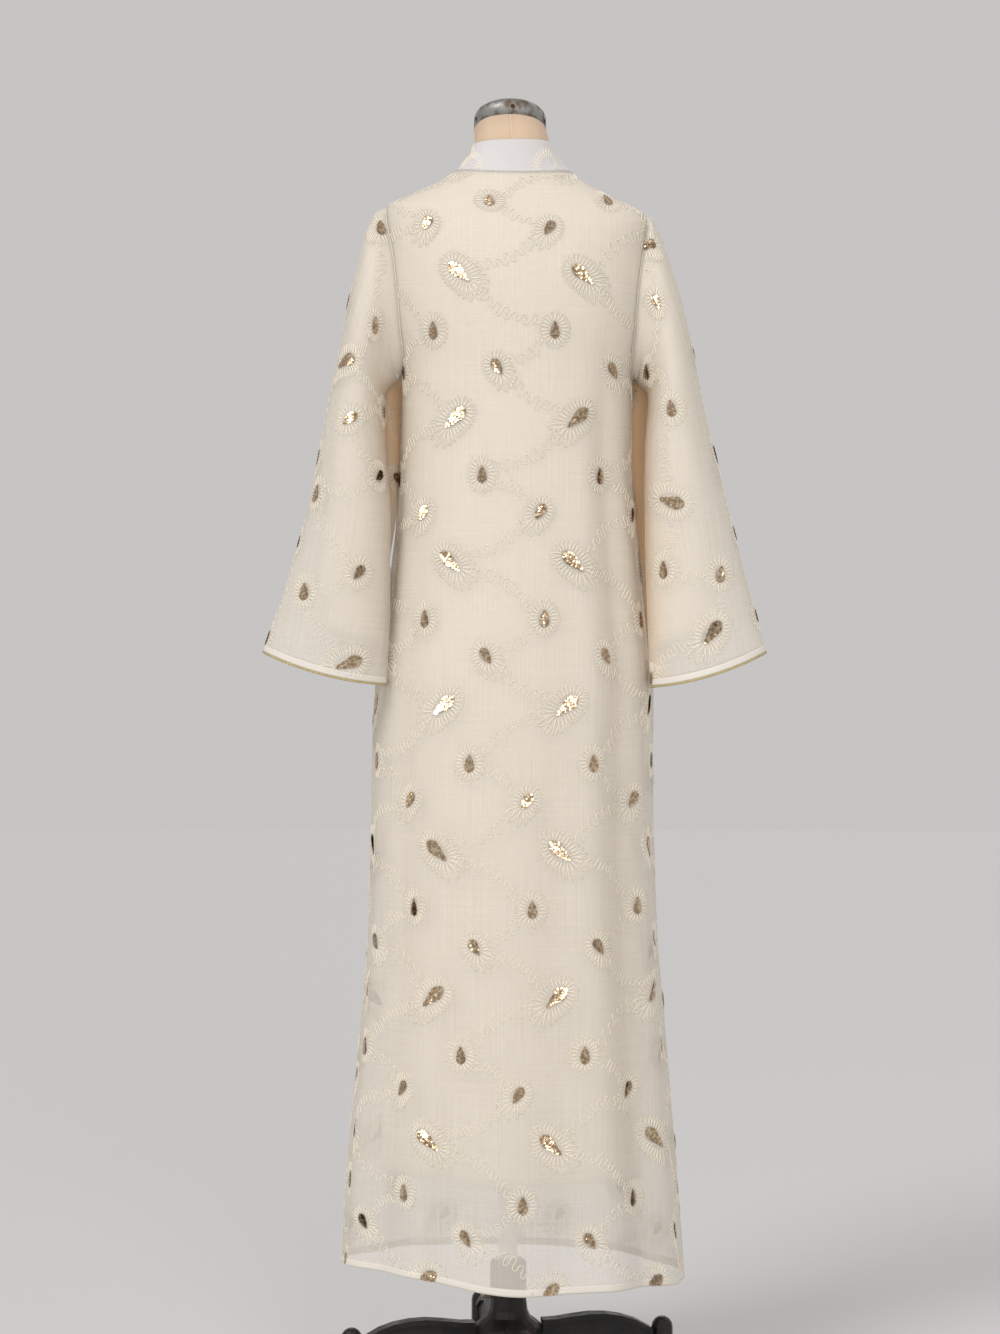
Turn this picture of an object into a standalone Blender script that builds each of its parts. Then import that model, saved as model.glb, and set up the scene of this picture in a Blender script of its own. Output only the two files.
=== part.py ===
"""Sequin abaya on a dress form.

A long cream abaya hangs on a limbless dress form with a cast-iron foot. Its back faces -Y and its
open front faces +Y. +X is the wearer's right. The origin is on the floor, under the middle of the
whole object. Sizes are in metres, and heights are above the floor.

The body of the garment is one surface, worked out from BODY: at each height an oval ring, whose
angle is -90 degrees at the centre back, 0 at the wearer's right side, 90 at the centre front and
180 at the left side. The side and shoulder seams run along 0 and 180 degrees, and the armholes are
cut out around them. Each panel is a stretch of that surface with a wall behind it.
"""

import math
from collections import namedtuple

import bmesh
import bpy
import numpy as np
from mathutils import Matrix, Vector

# Cloth
SHELL_WALL = 0.0012
LINING_WALL = 0.0010
COLLAR_WALL = 0.0012
SEAM_GAP = 0.0003
COLLAR_GAP = 0.0005
LINING_INSET = SHELL_WALL + SEAM_GAP

# Lengths of the garment and its openings
HEM_HEIGHT = 0.172
LINING_HEM_HEIGHT = 0.307
UNDERARM_HEIGHT = 1.372
SHOULDER_TIP_HEIGHT = 1.597
NECKLINE_HEIGHT = 1.649
COLLAR_TOP_HEIGHT = 1.687
ARMHOLE_MIDDLE = (UNDERARM_HEIGHT + SHOULDER_TIP_HEIGHT) / 2
ARMHOLE_HALF = (SHOULDER_TIP_HEIGHT - UNDERARM_HEIGHT) / 2
ARMHOLE_ANGLE = math.radians(23)
FRONT_OVERLAP = 0.014
OVERLAP_LIFT = 0.0020
OVERLAP_BLEND = math.radians(24)
COLLAR_OPENING = 0.0010

# How far the garment's middle lies from the middle between the two cuffs
MIDDLE_SHIFT = -0.00342

# How much squarer than an oval each ring is
FULLNESS = 0.05

Ring = namedtuple("Ring", "height tilt left right back front widest back_rise front_rise")
BODY = (
    Ring(0.172, 0.000, 0.232, 0.234, 0.186, 0.186, 0.016, 0.000, 0.000),
    Ring(0.324, 0.000, 0.222, 0.222, 0.174, 0.177, 0.020, 0.000, 0.000),
    Ring(0.481, 0.000, 0.207, 0.209, 0.160, 0.166, 0.024, 0.000, 0.000),
    Ring(0.634, 0.000, 0.195, 0.197, 0.149, 0.156, 0.028, 0.000, 0.000),
    Ring(0.827, 0.000, 0.191, 0.192, 0.141, 0.149, 0.030, 0.000, 0.000),
    Ring(0.952, 0.000, 0.186, 0.192, 0.135, 0.143, 0.030, 0.000, 0.000),
    Ring(1.060, 0.000, 0.171, 0.181, 0.126, 0.138, 0.025, 0.000, 0.000),
    Ring(1.182, 0.000, 0.156, 0.168, 0.118, 0.134, 0.015, 0.000, 0.000),
    Ring(1.276, 0.000, 0.150, 0.161, 0.113, 0.132, 0.008, 0.000, 0.000),
    Ring(1.377, 0.001, 0.148, 0.162, 0.111, 0.130, 0.002, 0.000, 0.000),
    Ring(1.440, 0.002, 0.160, 0.174, 0.112, 0.123, 0.000, 0.000, -0.004),
    Ring(1.484, 0.003, 0.166, 0.180, 0.111, 0.116, -0.001, -0.002, -0.012),
    Ring(1.537, 0.004, 0.170, 0.184, 0.106, 0.107, -0.002, -0.008, -0.027),
    Ring(1.577, 0.005, 0.172, 0.185, 0.098, 0.098, -0.003, -0.014, -0.040),
    Ring(1.597, 0.005, 0.169, 0.178, 0.090, 0.092, -0.004, -0.016, -0.046),
    Ring(1.608, 0.004, 0.150, 0.157, 0.086, 0.088, -0.005, -0.015, -0.049),
    Ring(1.622, 0.003, 0.120, 0.126, 0.080, 0.083, -0.005, -0.012, -0.052),
    Ring(1.636, 0.002, 0.094, 0.099, 0.073, 0.077, -0.005, -0.010, -0.056),
    Ring(1.649, 0.001, 0.077, 0.081, 0.067, 0.071, -0.004, -0.009, -0.059),
    Ring(1.668, 0.000, 0.062, 0.065, 0.059, 0.061, -0.002, -0.005, -0.042),
    Ring(1.687, -0.001, 0.053, 0.054, 0.054, 0.054, 0.000, -0.001, -0.030),
    Ring(1.700, 0.000, 0.0512, 0.0460, 0.052, 0.050, 0.000, 0.005, -0.020),
)

# The height of the hem all round
Hem = namedtuple("Hem", "degrees height")
HEM = (
    Hem(-180, 0.179),
    Hem(-150, 0.194),
    Hem(-122, 0.193),
    Hem(-108, 0.183),
    Hem(-85, 0.1735),
    Hem(-60, 0.176),
    Hem(-30, 0.170),
    Hem(0, 0.158),
    Hem(40, 0.164),
    Hem(90, 0.170),
    Hem(140, 0.174),
    Hem(180, 0.179),
)
HEM_REACH = 0.40

# Soft folds of the skirt: each is a ridge or a trough that grows from its top down to the hem
Fold = namedtuple("Fold", "degrees spread depth top")
FOLDS = (
    Fold(-170, 8, -0.006, 1.20),
    Fold(-154, 8, 0.007, 1.25),
    Fold(-138, 7, -0.006, 1.20),
    Fold(-121, 6, 0.006, 0.80),
    Fold(-110, 6, -0.008, 0.55),
    Fold(-92, 9, 0.003, 0.70),
    Fold(-74, 8, -0.005, 1.15),
    Fold(-58, 7, 0.007, 1.50),
    Fold(-43, 6, -0.008, 1.55),
    Fold(-28, 7, 0.007, 1.50),
    Fold(-10, 8, -0.006, 1.25),
    Fold(14, 8, 0.006, 1.20),
    Fold(34, 8, -0.008, 1.30),
    Fold(54, 8, 0.008, 1.30),
    Fold(126, 8, 0.008, 1.30),
    Fold(146, 8, -0.008, 1.30),
    Fold(166, 8, 0.006, 1.20),
)

# Sleeves: each row is one ring, from the shoulder down to the cuff
Sleeve = namedtuple("Sleeve", "outer_x outer_z inner_x inner_z half_depth middle_y sag")
LEFT_SLEEVE = (
    Sleeve(-0.186, 1.592, -0.158, 1.3725, 0.052, -0.003, 0.000),
    Sleeve(-0.197, 1.568, -0.165, 1.3730, 0.056, -0.004, 0.000),
    Sleeve(-0.209, 1.521, -0.171, 1.3680, 0.060, -0.005, 0.000),
    Sleeve(-0.220, 1.472, -0.1745, 1.352, 0.063, -0.007, 0.000),
    Sleeve(-0.235, 1.392, -0.173, 1.322, 0.065, -0.011, 0.000),
    Sleeve(-0.250, 1.319, -0.170, 1.269, 0.065, -0.018, 0.001),
    Sleeve(-0.269, 1.211, -0.163, 1.185, 0.060, -0.033, 0.003),
    Sleeve(-0.298, 1.102, -0.163, 1.072, 0.055, -0.048, 0.005),
    Sleeve(-0.330, 1.005, -0.167, 0.962, 0.050, -0.060, 0.008),
)
RIGHT_SLEEVE = (
    Sleeve(0.191, 1.583, 0.171, 1.3728, 0.052, -0.003, 0.000),
    Sleeve(0.202, 1.558, 0.178, 1.3722, 0.056, -0.004, 0.000),
    Sleeve(0.215, 1.519, 0.183, 1.3665, 0.060, -0.005, 0.000),
    Sleeve(0.229, 1.472, 0.186, 1.350, 0.063, -0.007, 0.000),
    Sleeve(0.246, 1.392, 0.183, 1.322, 0.065, -0.011, 0.000),
    Sleeve(0.260, 1.319, 0.179, 1.269, 0.065, -0.018, 0.001),
    Sleeve(0.285, 1.211, 0.178, 1.185, 0.060, -0.033, 0.003),
    Sleeve(0.311, 1.102, 0.180, 1.072, 0.055, -0.048, 0.005),
    Sleeve(0.337, 1.005, 0.184, 0.959, 0.050, -0.060, 0.008),
)

# How much of the sleeve's width its lining fills, ring by ring, and how far inside it hangs
SleeveLining = namedtuple("SleeveLining", "share inset")
SLEEVE_LINING = (
    SleeveLining(1.00, 0.0030),
    SleeveLining(1.00, 0.0032),
    SleeveLining(0.98, 0.0032),
    SleeveLining(0.96, 0.0032),
    SleeveLining(0.92, 0.0030),
    SleeveLining(0.88, 0.0035),
    SleeveLining(0.80, 0.0040),
    SleeveLining(0.72, 0.0045),
    SleeveLining(0.66, 0.0050),
)
SLEEVE_LINING_START = 0.0022
SLEEVE_LINING_END = 0.50
PIPING_WIDTH = 0.0028
PIPING_WALL = 0.0018

# How far the lining hangs inside the shell, which flares more than it does
Inset = namedtuple("Inset", "height inset")
LINING_SLACK = (
    Inset(0.172, 0.0580),
    Inset(0.324, 0.0460),
    Inset(0.481, 0.0310),
    Inset(0.634, 0.0200),
    Inset(0.827, 0.0140),
    Inset(0.952, 0.0100),
    Inset(1.182, 0.0050),
    Inset(1.372, 0.0022),
    Inset(1.440, 0.0017),
    Inset(1.484, LINING_INSET),
    Inset(1.577, 0.0018),
    Inset(1.602, 0.0020),
    Inset(1.649, LINING_INSET),
)

# The lining follows the shell's folds above the first height, and less and less down to the second
LINING_FOLDED = (1.05, 0.50)

# How far the dress form lies inside the garment's outer face
FORM_INSET = (
    Inset(0.840, 0.0310),
    Inset(0.952, 0.0240),
    Inset(1.060, 0.0260),
    Inset(1.182, 0.0420),
    Inset(1.276, 0.0240),
    Inset(1.377, 0.0110),
    Inset(1.440, 0.0085),
    Inset(1.537, 0.0075),
    Inset(1.577, 0.0080),
    Inset(1.597, 0.0070),
    Inset(1.608, 0.0056),
    Inset(1.636, 0.0046),
    Inset(1.649, 0.0040),
    Inset(1.668, 0.0036),
    Inset(1.687, 0.0030),
    Inset(1.700, 0.0000),
)
FORM_BOTTOM_HEIGHT = 0.840
NECK_TOP_HEIGHT = 1.705
NECK_TOP_SLOPE = -0.27
CAP_HEIGHT = 0.036
CAP_SIDE = 0.016
CAP_ROUNDING = (0, 20, 40, 58, 72, 82)
FORM_BODY_HEIGHTS = (0.840, 0.860, 0.905, 0.952, 1.006, 1.060, 1.121, 1.182, 1.230, 1.276, 1.325)
FORM_NECK_HEIGHTS = (1.658, 1.668, COLLAR_TOP_HEIGHT)
FORM_BOTTOM_SHARE = 0.93

# Stand
STAND_X = -0.0085
STAND_TURN = math.radians(10)
COLUMN_TOP_HEIGHT = 0.186
POLE_RADIUS = 0.0125
COLUMN_RADIUS = 0.0243
HUB_RADIUS = 0.0460
FOOT_RADIUS = 0.0145
FOOT_PAD_RADIUS = 0.0180
FOOT_DISTANCE = 0.2125
KNOB_HEIGHT = 0.087
KNOB_ROUNDING = (25, 48, 70)
EDGE_CUT = 0.002
CLAMP_RADIUS = 0.0052
CLAMP_LENGTH = 0.0130
CLAMP_HEIGHT = 0.1385

# The hub's turned outline, from its underside up to the column
Turned = namedtuple("Turned", "radius height")
HUB = (
    Turned(0.0380, 0.042),
    Turned(HUB_RADIUS, 0.052),
    Turned(HUB_RADIUS, 0.097),
    Turned(0.0390, 0.1035),
    Turned(0.0300, 0.1100),
    Turned(0.0258, 0.1190),
    Turned(COLUMN_RADIUS, 0.1320),
    Turned(COLUMN_RADIUS, COLUMN_TOP_HEIGHT - 0.003),
    Turned(COLUMN_RADIUS - 0.003, COLUMN_TOP_HEIGHT),
)

# A leg of the foot, from the hub outwards: the heights of its rib's top and of its web's lower edge
Leg = namedtuple("Leg", "distance top bottom")
LEG = (
    Leg(HUB_RADIUS + SEAM_GAP, 0.1040, 0.056),
    Leg(0.065, 0.1045, 0.060),
    Leg(0.088, 0.1075, 0.066),
    Leg(0.112, 0.1098, 0.069),
    Leg(0.134, 0.1090, 0.066),
    Leg(0.155, 0.1055, 0.057),
    Leg(0.175, 0.0990, 0.044),
    Leg(FOOT_DISTANCE - FOOT_RADIUS - SEAM_GAP, 0.0865, 0.024),
)
LEG_RIB_HALF = 0.0110
LEG_RIB_DEPTH = 0.0070
LEG_WEB_HALF = 0.0060

# How finely each piece is divided
SKIRT_ROWS = 11
ARMHOLE_ROWS = 14
SHOULDER_ROWS = 6
BACK_COLUMNS = 20
FRONT_COLUMNS = 10
COLLAR_ROWS = 3
COLLAR_COLUMNS = 40
FORM_COLUMNS = 24
FORM_SHOULDER_ROWS = 4
SIDES = 20
FOOT_SIDES = 12
CLAMP_SIDES = 10

Paint = namedtuple("Paint", "colour roughness metallic")
SHEER = Paint((0.80, 0.70, 0.58), 0.75, 0.0)
LINING = Paint((0.78, 0.69, 0.56), 0.60, 0.0)
WHITE = Paint((0.85, 0.83, 0.80), 0.70, 0.0)
GOLD = Paint((0.55, 0.45, 0.20), 0.45, 0.3)
LINEN = Paint((0.70, 0.52, 0.37), 0.85, 0.0)
CAP_METAL = Paint((0.22, 0.22, 0.21), 0.55, 0.8)
STEEL = Paint((0.35, 0.35, 0.34), 0.45, 0.9)
IRON = Paint((0.020, 0.019, 0.019), 0.50, 0.6)
CLAMP = Paint((0.30, 0.28, 0.23), 0.60, 0.5)


def smooth(keys, values, at):
    """A curve through (keys, values) with no overshoot, read at each of at.

    Between two keys it is a cubic. Its slope at a key is the harmonic mean of the slopes beside it,
    or zero where they differ in sign.
    """
    keys = np.asarray(keys, float)
    values = np.asarray(values, float)
    at = np.clip(np.asarray(at, float), keys[0], keys[-1])
    step = np.diff(keys)
    rise = np.diff(values) / step
    slope = np.zeros(len(keys))
    same = rise[:-1] * rise[1:] > 0
    low, high = rise[:-1][same], rise[1:][same]
    slope[1:-1][same] = 2 * low * high / (low + high)
    slope[0] = rise[0]
    slope[-1] = rise[-1]
    i = np.clip(np.searchsorted(keys, at, side="right") - 1, 0, len(step) - 1)
    t = (at - keys[i]) / step[i]
    start = (1 + 2 * t) * (1 - t) ** 2 * values[i] + t * (1 - t) ** 2 * step[i] * slope[i]
    end = t**2 * (3 - 2 * t) * values[i + 1] + t**2 * (t - 1) * step[i] * slope[i + 1]
    return start + end


def column(table, key, name, at):
    """One named column of a table as a smooth curve over its key column."""
    keys = [getattr(row, key) for row in table]
    values = [getattr(row, name) for row in table]
    return smooth(keys, values, at)


def ease(t):
    """0 below 0, 1 above 1, and a soft step between."""
    t = np.clip(t, 0, 1)
    return t * t * (3 - 2 * t)


def unit(vectors):
    return vectors / np.linalg.norm(vectors, axis=-1, keepdims=True)


def wrapped(angle):
    """An angle in radians as degrees from -180 to 180."""
    return (np.degrees(angle) + 180) % 360 - 180


def fold_offset(height, angle):
    """How far the folds push the skirt out of its plain ring."""
    degrees = wrapped(angle)
    total = np.zeros(np.broadcast(height, angle).shape)
    for fold in FOLDS:
        away = (degrees - fold.degrees + 180) % 360 - 180
        share = np.clip((fold.top - height) / (fold.top - HEM_HEIGHT), 0, 1)
        growth = share * (2 - share) * ease(5 * share)
        total = total + fold.depth * growth * np.exp(-((away / fold.spread) ** 2))
    return total


def body_point(height, angle, folded=1.0):
    """Points of the garment's outer face, at heights and angles of one shape.

    Folded is the share of the folds' depth that the surface takes.
    """
    height, angle = np.broadcast_arrays(np.asarray(height, float), np.asarray(angle, float))
    c, s = np.cos(angle), np.sin(angle)
    left = column(BODY, "height", "left", height)
    right = column(BODY, "height", "right", height)
    widest = column(BODY, "height", "widest", height)
    back = column(BODY, "height", "back", height) + widest
    front = column(BODY, "height", "front", height) - widest
    half = (left + right) / 2
    depth = np.where(s < 0, back, front)
    x = (right - left) / 2 + half * c * (1 + FULLNESS * s * s)
    y = widest + depth * s * (1 + FULLNESS * c * c)
    back_rise = column(BODY, "height", "back_rise", height)
    front_rise = column(BODY, "height", "front_rise", height)
    tilt = column(BODY, "height", "tilt", height)
    z = height - tilt * c + s * s * np.where(s < 0, back_rise, front_rise)
    hem = column(HEM, "degrees", "height", wrapped(angle)) - HEM_HEIGHT
    z = z + hem * np.clip(1 - (height - HEM_HEIGHT) / HEM_REACH, 0, 1) ** 2
    across = unit(np.stack([c / half, s / depth], -1))
    fold = fold_offset(height, angle) * folded
    x = x + fold * across[..., 0] + MIDDLE_SHIFT
    y = y + fold * across[..., 1]
    return np.stack([x, y, z], -1)


def body_slopes(height, angle, folded=1.0):
    """The surface's directions along the ring and up, by small steps to both sides."""
    turn, rise = 0.004, 0.0015
    along = body_point(height, angle + turn, folded) - body_point(height, angle - turn, folded)
    up = body_point(height + rise, angle, folded) - body_point(height - rise, angle, folded)
    return along / (2 * turn), up / (2 * rise)


def body_normal(height, angle, folded=1.0):
    along, up = body_slopes(height, angle, folded)
    return unit(np.cross(along, up))


def seam_angle(height, angle, gap):
    """The angle that a gap along the ring takes at each height."""
    along, _ = body_slopes(height, angle)
    return gap / np.linalg.norm(along, axis=-1)


def armhole_angle(height):
    """Half the angle that the armhole cuts out of the ring at each height."""
    t = np.clip((height - ARMHOLE_MIDDLE) / ARMHOLE_HALF, -1, 1)
    return ARMHOLE_ANGLE * np.sqrt(1 - t * t)


def armhole_heights(count):
    """Heights from the underarm to the shoulder tip, closer together at both ends."""
    return ARMHOLE_MIDDLE - ARMHOLE_HALF * np.cos(np.pi * np.arange(count + 1) / count)


def row_heights(bottom, skirt_rows, armhole_rows, shoulder_rows):
    """Heights of a panel's rows, from its hem to its neckline."""
    skirt = np.linspace(bottom, UNDERARM_HEIGHT, skirt_rows + 1)[:-1]
    armhole = armhole_heights(armhole_rows)
    shoulder = np.linspace(SHOULDER_TIP_HEIGHT, NECKLINE_HEIGHT, shoulder_rows + 1)[1:]
    return np.concatenate([skirt, armhole, shoulder])


def panel_angles(heights, start, end, columns, start_gap=SEAM_GAP / 2, end_gap=SEAM_GAP / 2):
    """Angles of a panel's grid, from its start edge to its end edge.

    An edge at a side seam makes room for the armhole. Each gap is how far the panel stops short.
    """
    first = np.full(len(heights), start) + seam_angle(heights, start, start_gap)
    last = np.full(len(heights), end) - seam_angle(heights, end, end_gap)
    if abs(math.cos(start)) > 0.5:
        first = first + armhole_angle(heights)
    if abs(math.cos(end)) > 0.5:
        last = last - armhole_angle(heights)
    share = np.linspace(0, 1, columns + 1)
    return first[:, None] + (last - first)[:, None] * share[None, :]


def paint(name, finish):
    material = bpy.data.materials.new(name)
    material.use_nodes = True
    shader = material.node_tree.nodes["Principled BSDF"]
    shader.inputs["Base Color"].default_value = (*finish.colour, 1)
    shader.inputs["Roughness"].default_value = finish.roughness
    shader.inputs["Metallic"].default_value = finish.metallic
    material.diffuse_color = (*finish.colour, 1)
    return material


def add_solid(name, finish, points, faces):
    """A closed object from points and faces, with its faces turned outwards."""
    mesh = bpy.data.meshes.new(name)
    mesh.from_pydata([tuple(p) for p in points], [], faces)
    shape = bmesh.new()
    shape.from_mesh(mesh)
    bmesh.ops.recalc_face_normals(shape, faces=shape.faces[:])
    shape.to_mesh(mesh)
    shape.free()
    mesh.shade_smooth()
    mesh.set_sharp_from_angle(angle=math.radians(40))
    mesh.materials.append(paint(name, finish))
    thing = bpy.data.objects.new(name, mesh)
    bpy.context.scene.collection.objects.link(thing)
    return thing


def add_cloth(name, finish, outer, inner, closed=False):
    """A wall of cloth between two grids of points. A closed one is a tube around its rows."""
    rows, columns = outer.shape[:2]
    count = rows * columns

    def at(side, i, j):
        return side * count + i * columns + j % columns

    faces = []
    spans = columns if closed else columns - 1
    top, last = rows - 1, columns - 1
    for i in range(rows - 1):
        for j in range(spans):
            faces.append((at(0, i, j), at(0, i, j + 1), at(0, i + 1, j + 1), at(0, i + 1, j)))
            faces.append((at(1, i, j), at(1, i + 1, j), at(1, i + 1, j + 1), at(1, i, j + 1)))
    for j in range(spans):
        faces.append((at(0, 0, j + 1), at(0, 0, j), at(1, 0, j), at(1, 0, j + 1)))
        faces.append((at(0, top, j), at(0, top, j + 1), at(1, top, j + 1), at(1, top, j)))
    if not closed:
        for i in range(rows - 1):
            faces.append((at(0, i, 0), at(0, i + 1, 0), at(1, i + 1, 0), at(1, i, 0)))
            faces.append((at(0, i + 1, last), at(0, i, last), at(1, i, last), at(1, i + 1, last)))
    points = np.concatenate([outer.reshape(-1, 3), inner.reshape(-1, 3)])
    return add_solid(name, finish, points, faces)


def add_body_panel(name, finish, heights, angles, inset, wall, folded=1.0):
    """A panel of the garment's body. Inset is how far it hangs inside, or outside if below 0."""
    grid = np.broadcast_to(heights[:, None], angles.shape)
    normals = body_normal(grid, angles, folded)
    outer = body_point(grid, angles, folded) - normals * np.broadcast_to(inset, angles.shape)[..., None]
    return add_cloth(name, finish, outer, outer - normals * wall)


def build_body_panels():
    """The sheer back and the two sheer fronts. The right front laps over the left one."""
    heights = row_heights(HEM_HEIGHT, SKIRT_ROWS, ARMHOLE_ROWS, SHOULDER_ROWS)
    back = panel_angles(heights, -math.pi, 0, BACK_COLUMNS)
    add_body_panel("back", SHEER, heights, back, 0, SHELL_WALL)
    centre = math.pi / 2
    lap = seam_angle(heights, centre, FRONT_OVERLAP)[:, None]
    right = panel_angles(heights, 0, centre, FRONT_COLUMNS, end_gap=0)
    right = np.concatenate([right, centre + lap], axis=1)
    lift = OVERLAP_LIFT * ease((right - (centre - OVERLAP_BLEND)) / (OVERLAP_BLEND / 2))
    add_body_panel("front_right", SHEER, heights, right, -lift, SHELL_WALL)
    left = panel_angles(heights, centre, math.pi, FRONT_COLUMNS, start_gap=0)
    left = np.concatenate([centre - lap, left], axis=1)
    add_body_panel("front_left", SHEER, heights, left, 0, SHELL_WALL)


def build_lining_panels():
    """The opaque lining: a back, and two fronts that meet at the centre."""
    heights = row_heights(LINING_HEM_HEIGHT, SKIRT_ROWS - 2, ARMHOLE_ROWS // 2, SHOULDER_ROWS)
    inset = column(LINING_SLACK, "height", "inset", heights)[:, None]
    start, end = LINING_FOLDED
    folded = ease((heights[:, None] - end) / (start - end))
    centre = math.pi / 2
    panels = (
        ("lining_back", -math.pi, 0, BACK_COLUMNS // 2),
        ("lining_front_right", 0, centre, FRONT_COLUMNS // 2),
        ("lining_front_left", centre, math.pi, FRONT_COLUMNS // 2),
    )
    for name, start, end, columns in panels:
        angles = panel_angles(heights, start, end, columns)
        add_body_panel(name, LINING, heights, angles, inset, LINING_WALL, folded)


def armhole_ring(side, count, inset):
    """The sleeve's first ring: the armhole's edge, moved into the hole by a seam's gap.

    It starts at the shoulder tip and runs down the back and up the front. Side is 1 on the right.
    """
    turn = 2 * np.pi * np.arange(count) / count
    height = ARMHOLE_MIDDLE + ARMHOLE_HALF * np.cos(turn)
    cut = -ARMHOLE_ANGLE * np.sin(turn)
    angle = cut if side > 0 else np.pi - cut
    normal = body_normal(height, angle)
    edge = body_point(height, angle) - normal * inset
    along = np.roll(edge, -1, axis=0) - np.roll(edge, 1, axis=0)
    inwards = unit(np.cross(normal, along))
    centre = edge.mean(axis=0)
    facing = np.sign(np.einsum("ij,ij->i", inwards, centre - edge))
    return edge + inwards * facing[:, None] * SEAM_GAP, normal


def sleeve_rings(table, count):
    """A sleeve's rings below the armhole: ovals between their outer and inner points."""
    turn = 2 * np.pi * np.arange(count) / count
    rings = []
    for row in table:
        outer = np.array([row.outer_x + MIDDLE_SHIFT, row.middle_y, row.outer_z])
        inner = np.array([row.inner_x + MIDDLE_SHIFT, row.middle_y, row.inner_z])
        ring = (outer + inner) / 2 + np.cos(turn)[:, None] * (outer - inner) / 2
        ring[:, 1] -= np.sin(turn) * row.half_depth
        ring[:, 2] -= np.sin(turn) ** 2 * row.sag
        rings.append(ring)
    return np.array(rings)


def tube_normals(rings):
    """Directions out of a tube, from the steps along it and around it."""
    along = np.gradient(rings, axis=0)
    around = np.roll(rings, -1, axis=1) - np.roll(rings, 1, axis=1)
    normals = unit(np.cross(around, along))
    outwards = rings - rings.mean(axis=1, keepdims=True)
    facing = np.sign(np.einsum("ijk,ijk->ij", normals, outwards).sum(axis=1))
    return normals * facing[:, None, None]


def build_sleeve(name, side, table):
    """A flared sleeve, the gold piping under its cuff, and the narrower lining inside it."""
    count = 2 * ARMHOLE_ROWS
    first, first_normal = armhole_ring(side, count, 0)
    rings = np.concatenate([first[None], sleeve_rings(table, count)])
    normals = tube_normals(rings)
    normals[0] = first_normal
    add_cloth(f"sleeve_{name}", SHEER, rings, rings - normals * SHELL_WALL, closed=True)

    down = unit(rings[-1] - rings[-2])
    middle = rings[-1] - normals[-1] * SHELL_WALL / 2
    edge = np.stack([middle + down * SEAM_GAP, middle + down * (SEAM_GAP + PIPING_WIDTH)])
    half = normals[-1] * PIPING_WALL / 2
    add_cloth(f"cuff_piping_{name}", GOLD, edge + half, edge - half, closed=True)

    lining_first, lining_normal = armhole_ring(side, ARMHOLE_ROWS, SLEEVE_LINING_START)
    lining = [lining_first]
    for ring, normal, row, fit in zip(rings[1:, ::2], normals[1:, ::2], table, SLEEVE_LINING):
        inset = ring - normal * (SHELL_WALL + fit.inset)
        underside = inset[len(inset) // 2]
        lining.append(underside + (inset - underside) * fit.share)
    lining[-1] = lining[-2] + (lining[-1] - lining[-2]) * SLEEVE_LINING_END
    lining = np.array(lining)
    lining_normals = tube_normals(lining)
    lining_normals[0] = lining_normal
    inside = lining - lining_normals * LINING_WALL
    add_cloth(f"sleeve_lining_{name}", LINING, lining, inside, closed=True)


def build_collar():
    """The stand collar: the body's surface carried on above the neckline, open at the front."""
    start = math.pi / 2
    heights = np.linspace(NECKLINE_HEIGHT, COLLAR_TOP_HEIGHT, COLLAR_ROWS + 1)
    gap = COLLAR_OPENING / 2
    angles = panel_angles(heights, start, start + 2 * math.pi, COLLAR_COLUMNS, gap, gap)
    grid = np.broadcast_to(heights[:, None], angles.shape)
    outer = body_point(grid, angles)
    outer[0] += unit(outer[1] - outer[0]) * COLLAR_GAP
    inner = outer - body_normal(grid, angles) * COLLAR_WALL
    add_cloth("collar", WHITE, outer, inner)


def form_ring(height):
    """One ring of the dress form, inside the garment's surface at that height."""
    angles = -np.pi / 2 + 2 * np.pi * np.arange(FORM_COLUMNS) / FORM_COLUMNS
    heights = np.full(FORM_COLUMNS, height)
    inset = column(FORM_INSET, "height", "inset", height)
    return body_point(heights, angles, 0) - body_normal(heights, angles, 0) * inset


def add_turned(name, finish, rings):
    """A solid from rings of one count, closed with a flat face at each end."""
    rings = np.asarray(rings)
    levels, count = rings.shape[:2]
    faces = [tuple(range(count)), tuple(range((levels - 1) * count, levels * count))]
    for i in range(levels - 1):
        for j in range(count):
            k = (j + 1) % count
            faces.append((i * count + j, i * count + k, (i + 1) * count + k, (i + 1) * count + j))
    return add_solid(name, finish, rings.reshape(-1, 3), faces)


def neck_top_ring():
    """The neck's slanting flat top, higher at the back than at the front."""
    ring = form_ring(BODY[-1].height)
    ring[:, 2] = NECK_TOP_HEIGHT + NECK_TOP_SLOPE * ring[:, 1]
    return ring


def build_dress_form():
    """The linen torso with its neck, and the domed metal cap on the neck's slanting top."""
    chest = armhole_heights(ARMHOLE_ROWS // 2)
    shoulder = np.linspace(SHOULDER_TIP_HEIGHT, NECKLINE_HEIGHT, FORM_SHOULDER_ROWS + 1)[1:]
    heights = np.concatenate([FORM_BODY_HEIGHTS, chest, shoulder, FORM_NECK_HEIGHTS])
    rings = [form_ring(height) for height in heights]
    middle = rings[0].mean(axis=0)
    rings[0] = middle + (rings[0] - middle) * FORM_BOTTOM_SHARE
    rings[0][:, 2] = FORM_BOTTOM_HEIGHT
    top = neck_top_ring()
    add_turned("form_torso", LINEN, rings + [top])

    centre = top.mean(axis=0)
    upwards = unit(np.array([0, -NECK_TOP_SLOPE, 1]))
    cap = [top + upwards * SEAM_GAP]
    for degrees in CAP_ROUNDING:
        turn = math.radians(degrees)
        lift = CAP_SIDE + (CAP_HEIGHT - CAP_SIDE) * math.sin(turn)
        cap.append(centre + (top - centre) * math.cos(turn) + upwards * lift)
    add_turned("form_neck_cap", CAP_METAL, cap)


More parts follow.
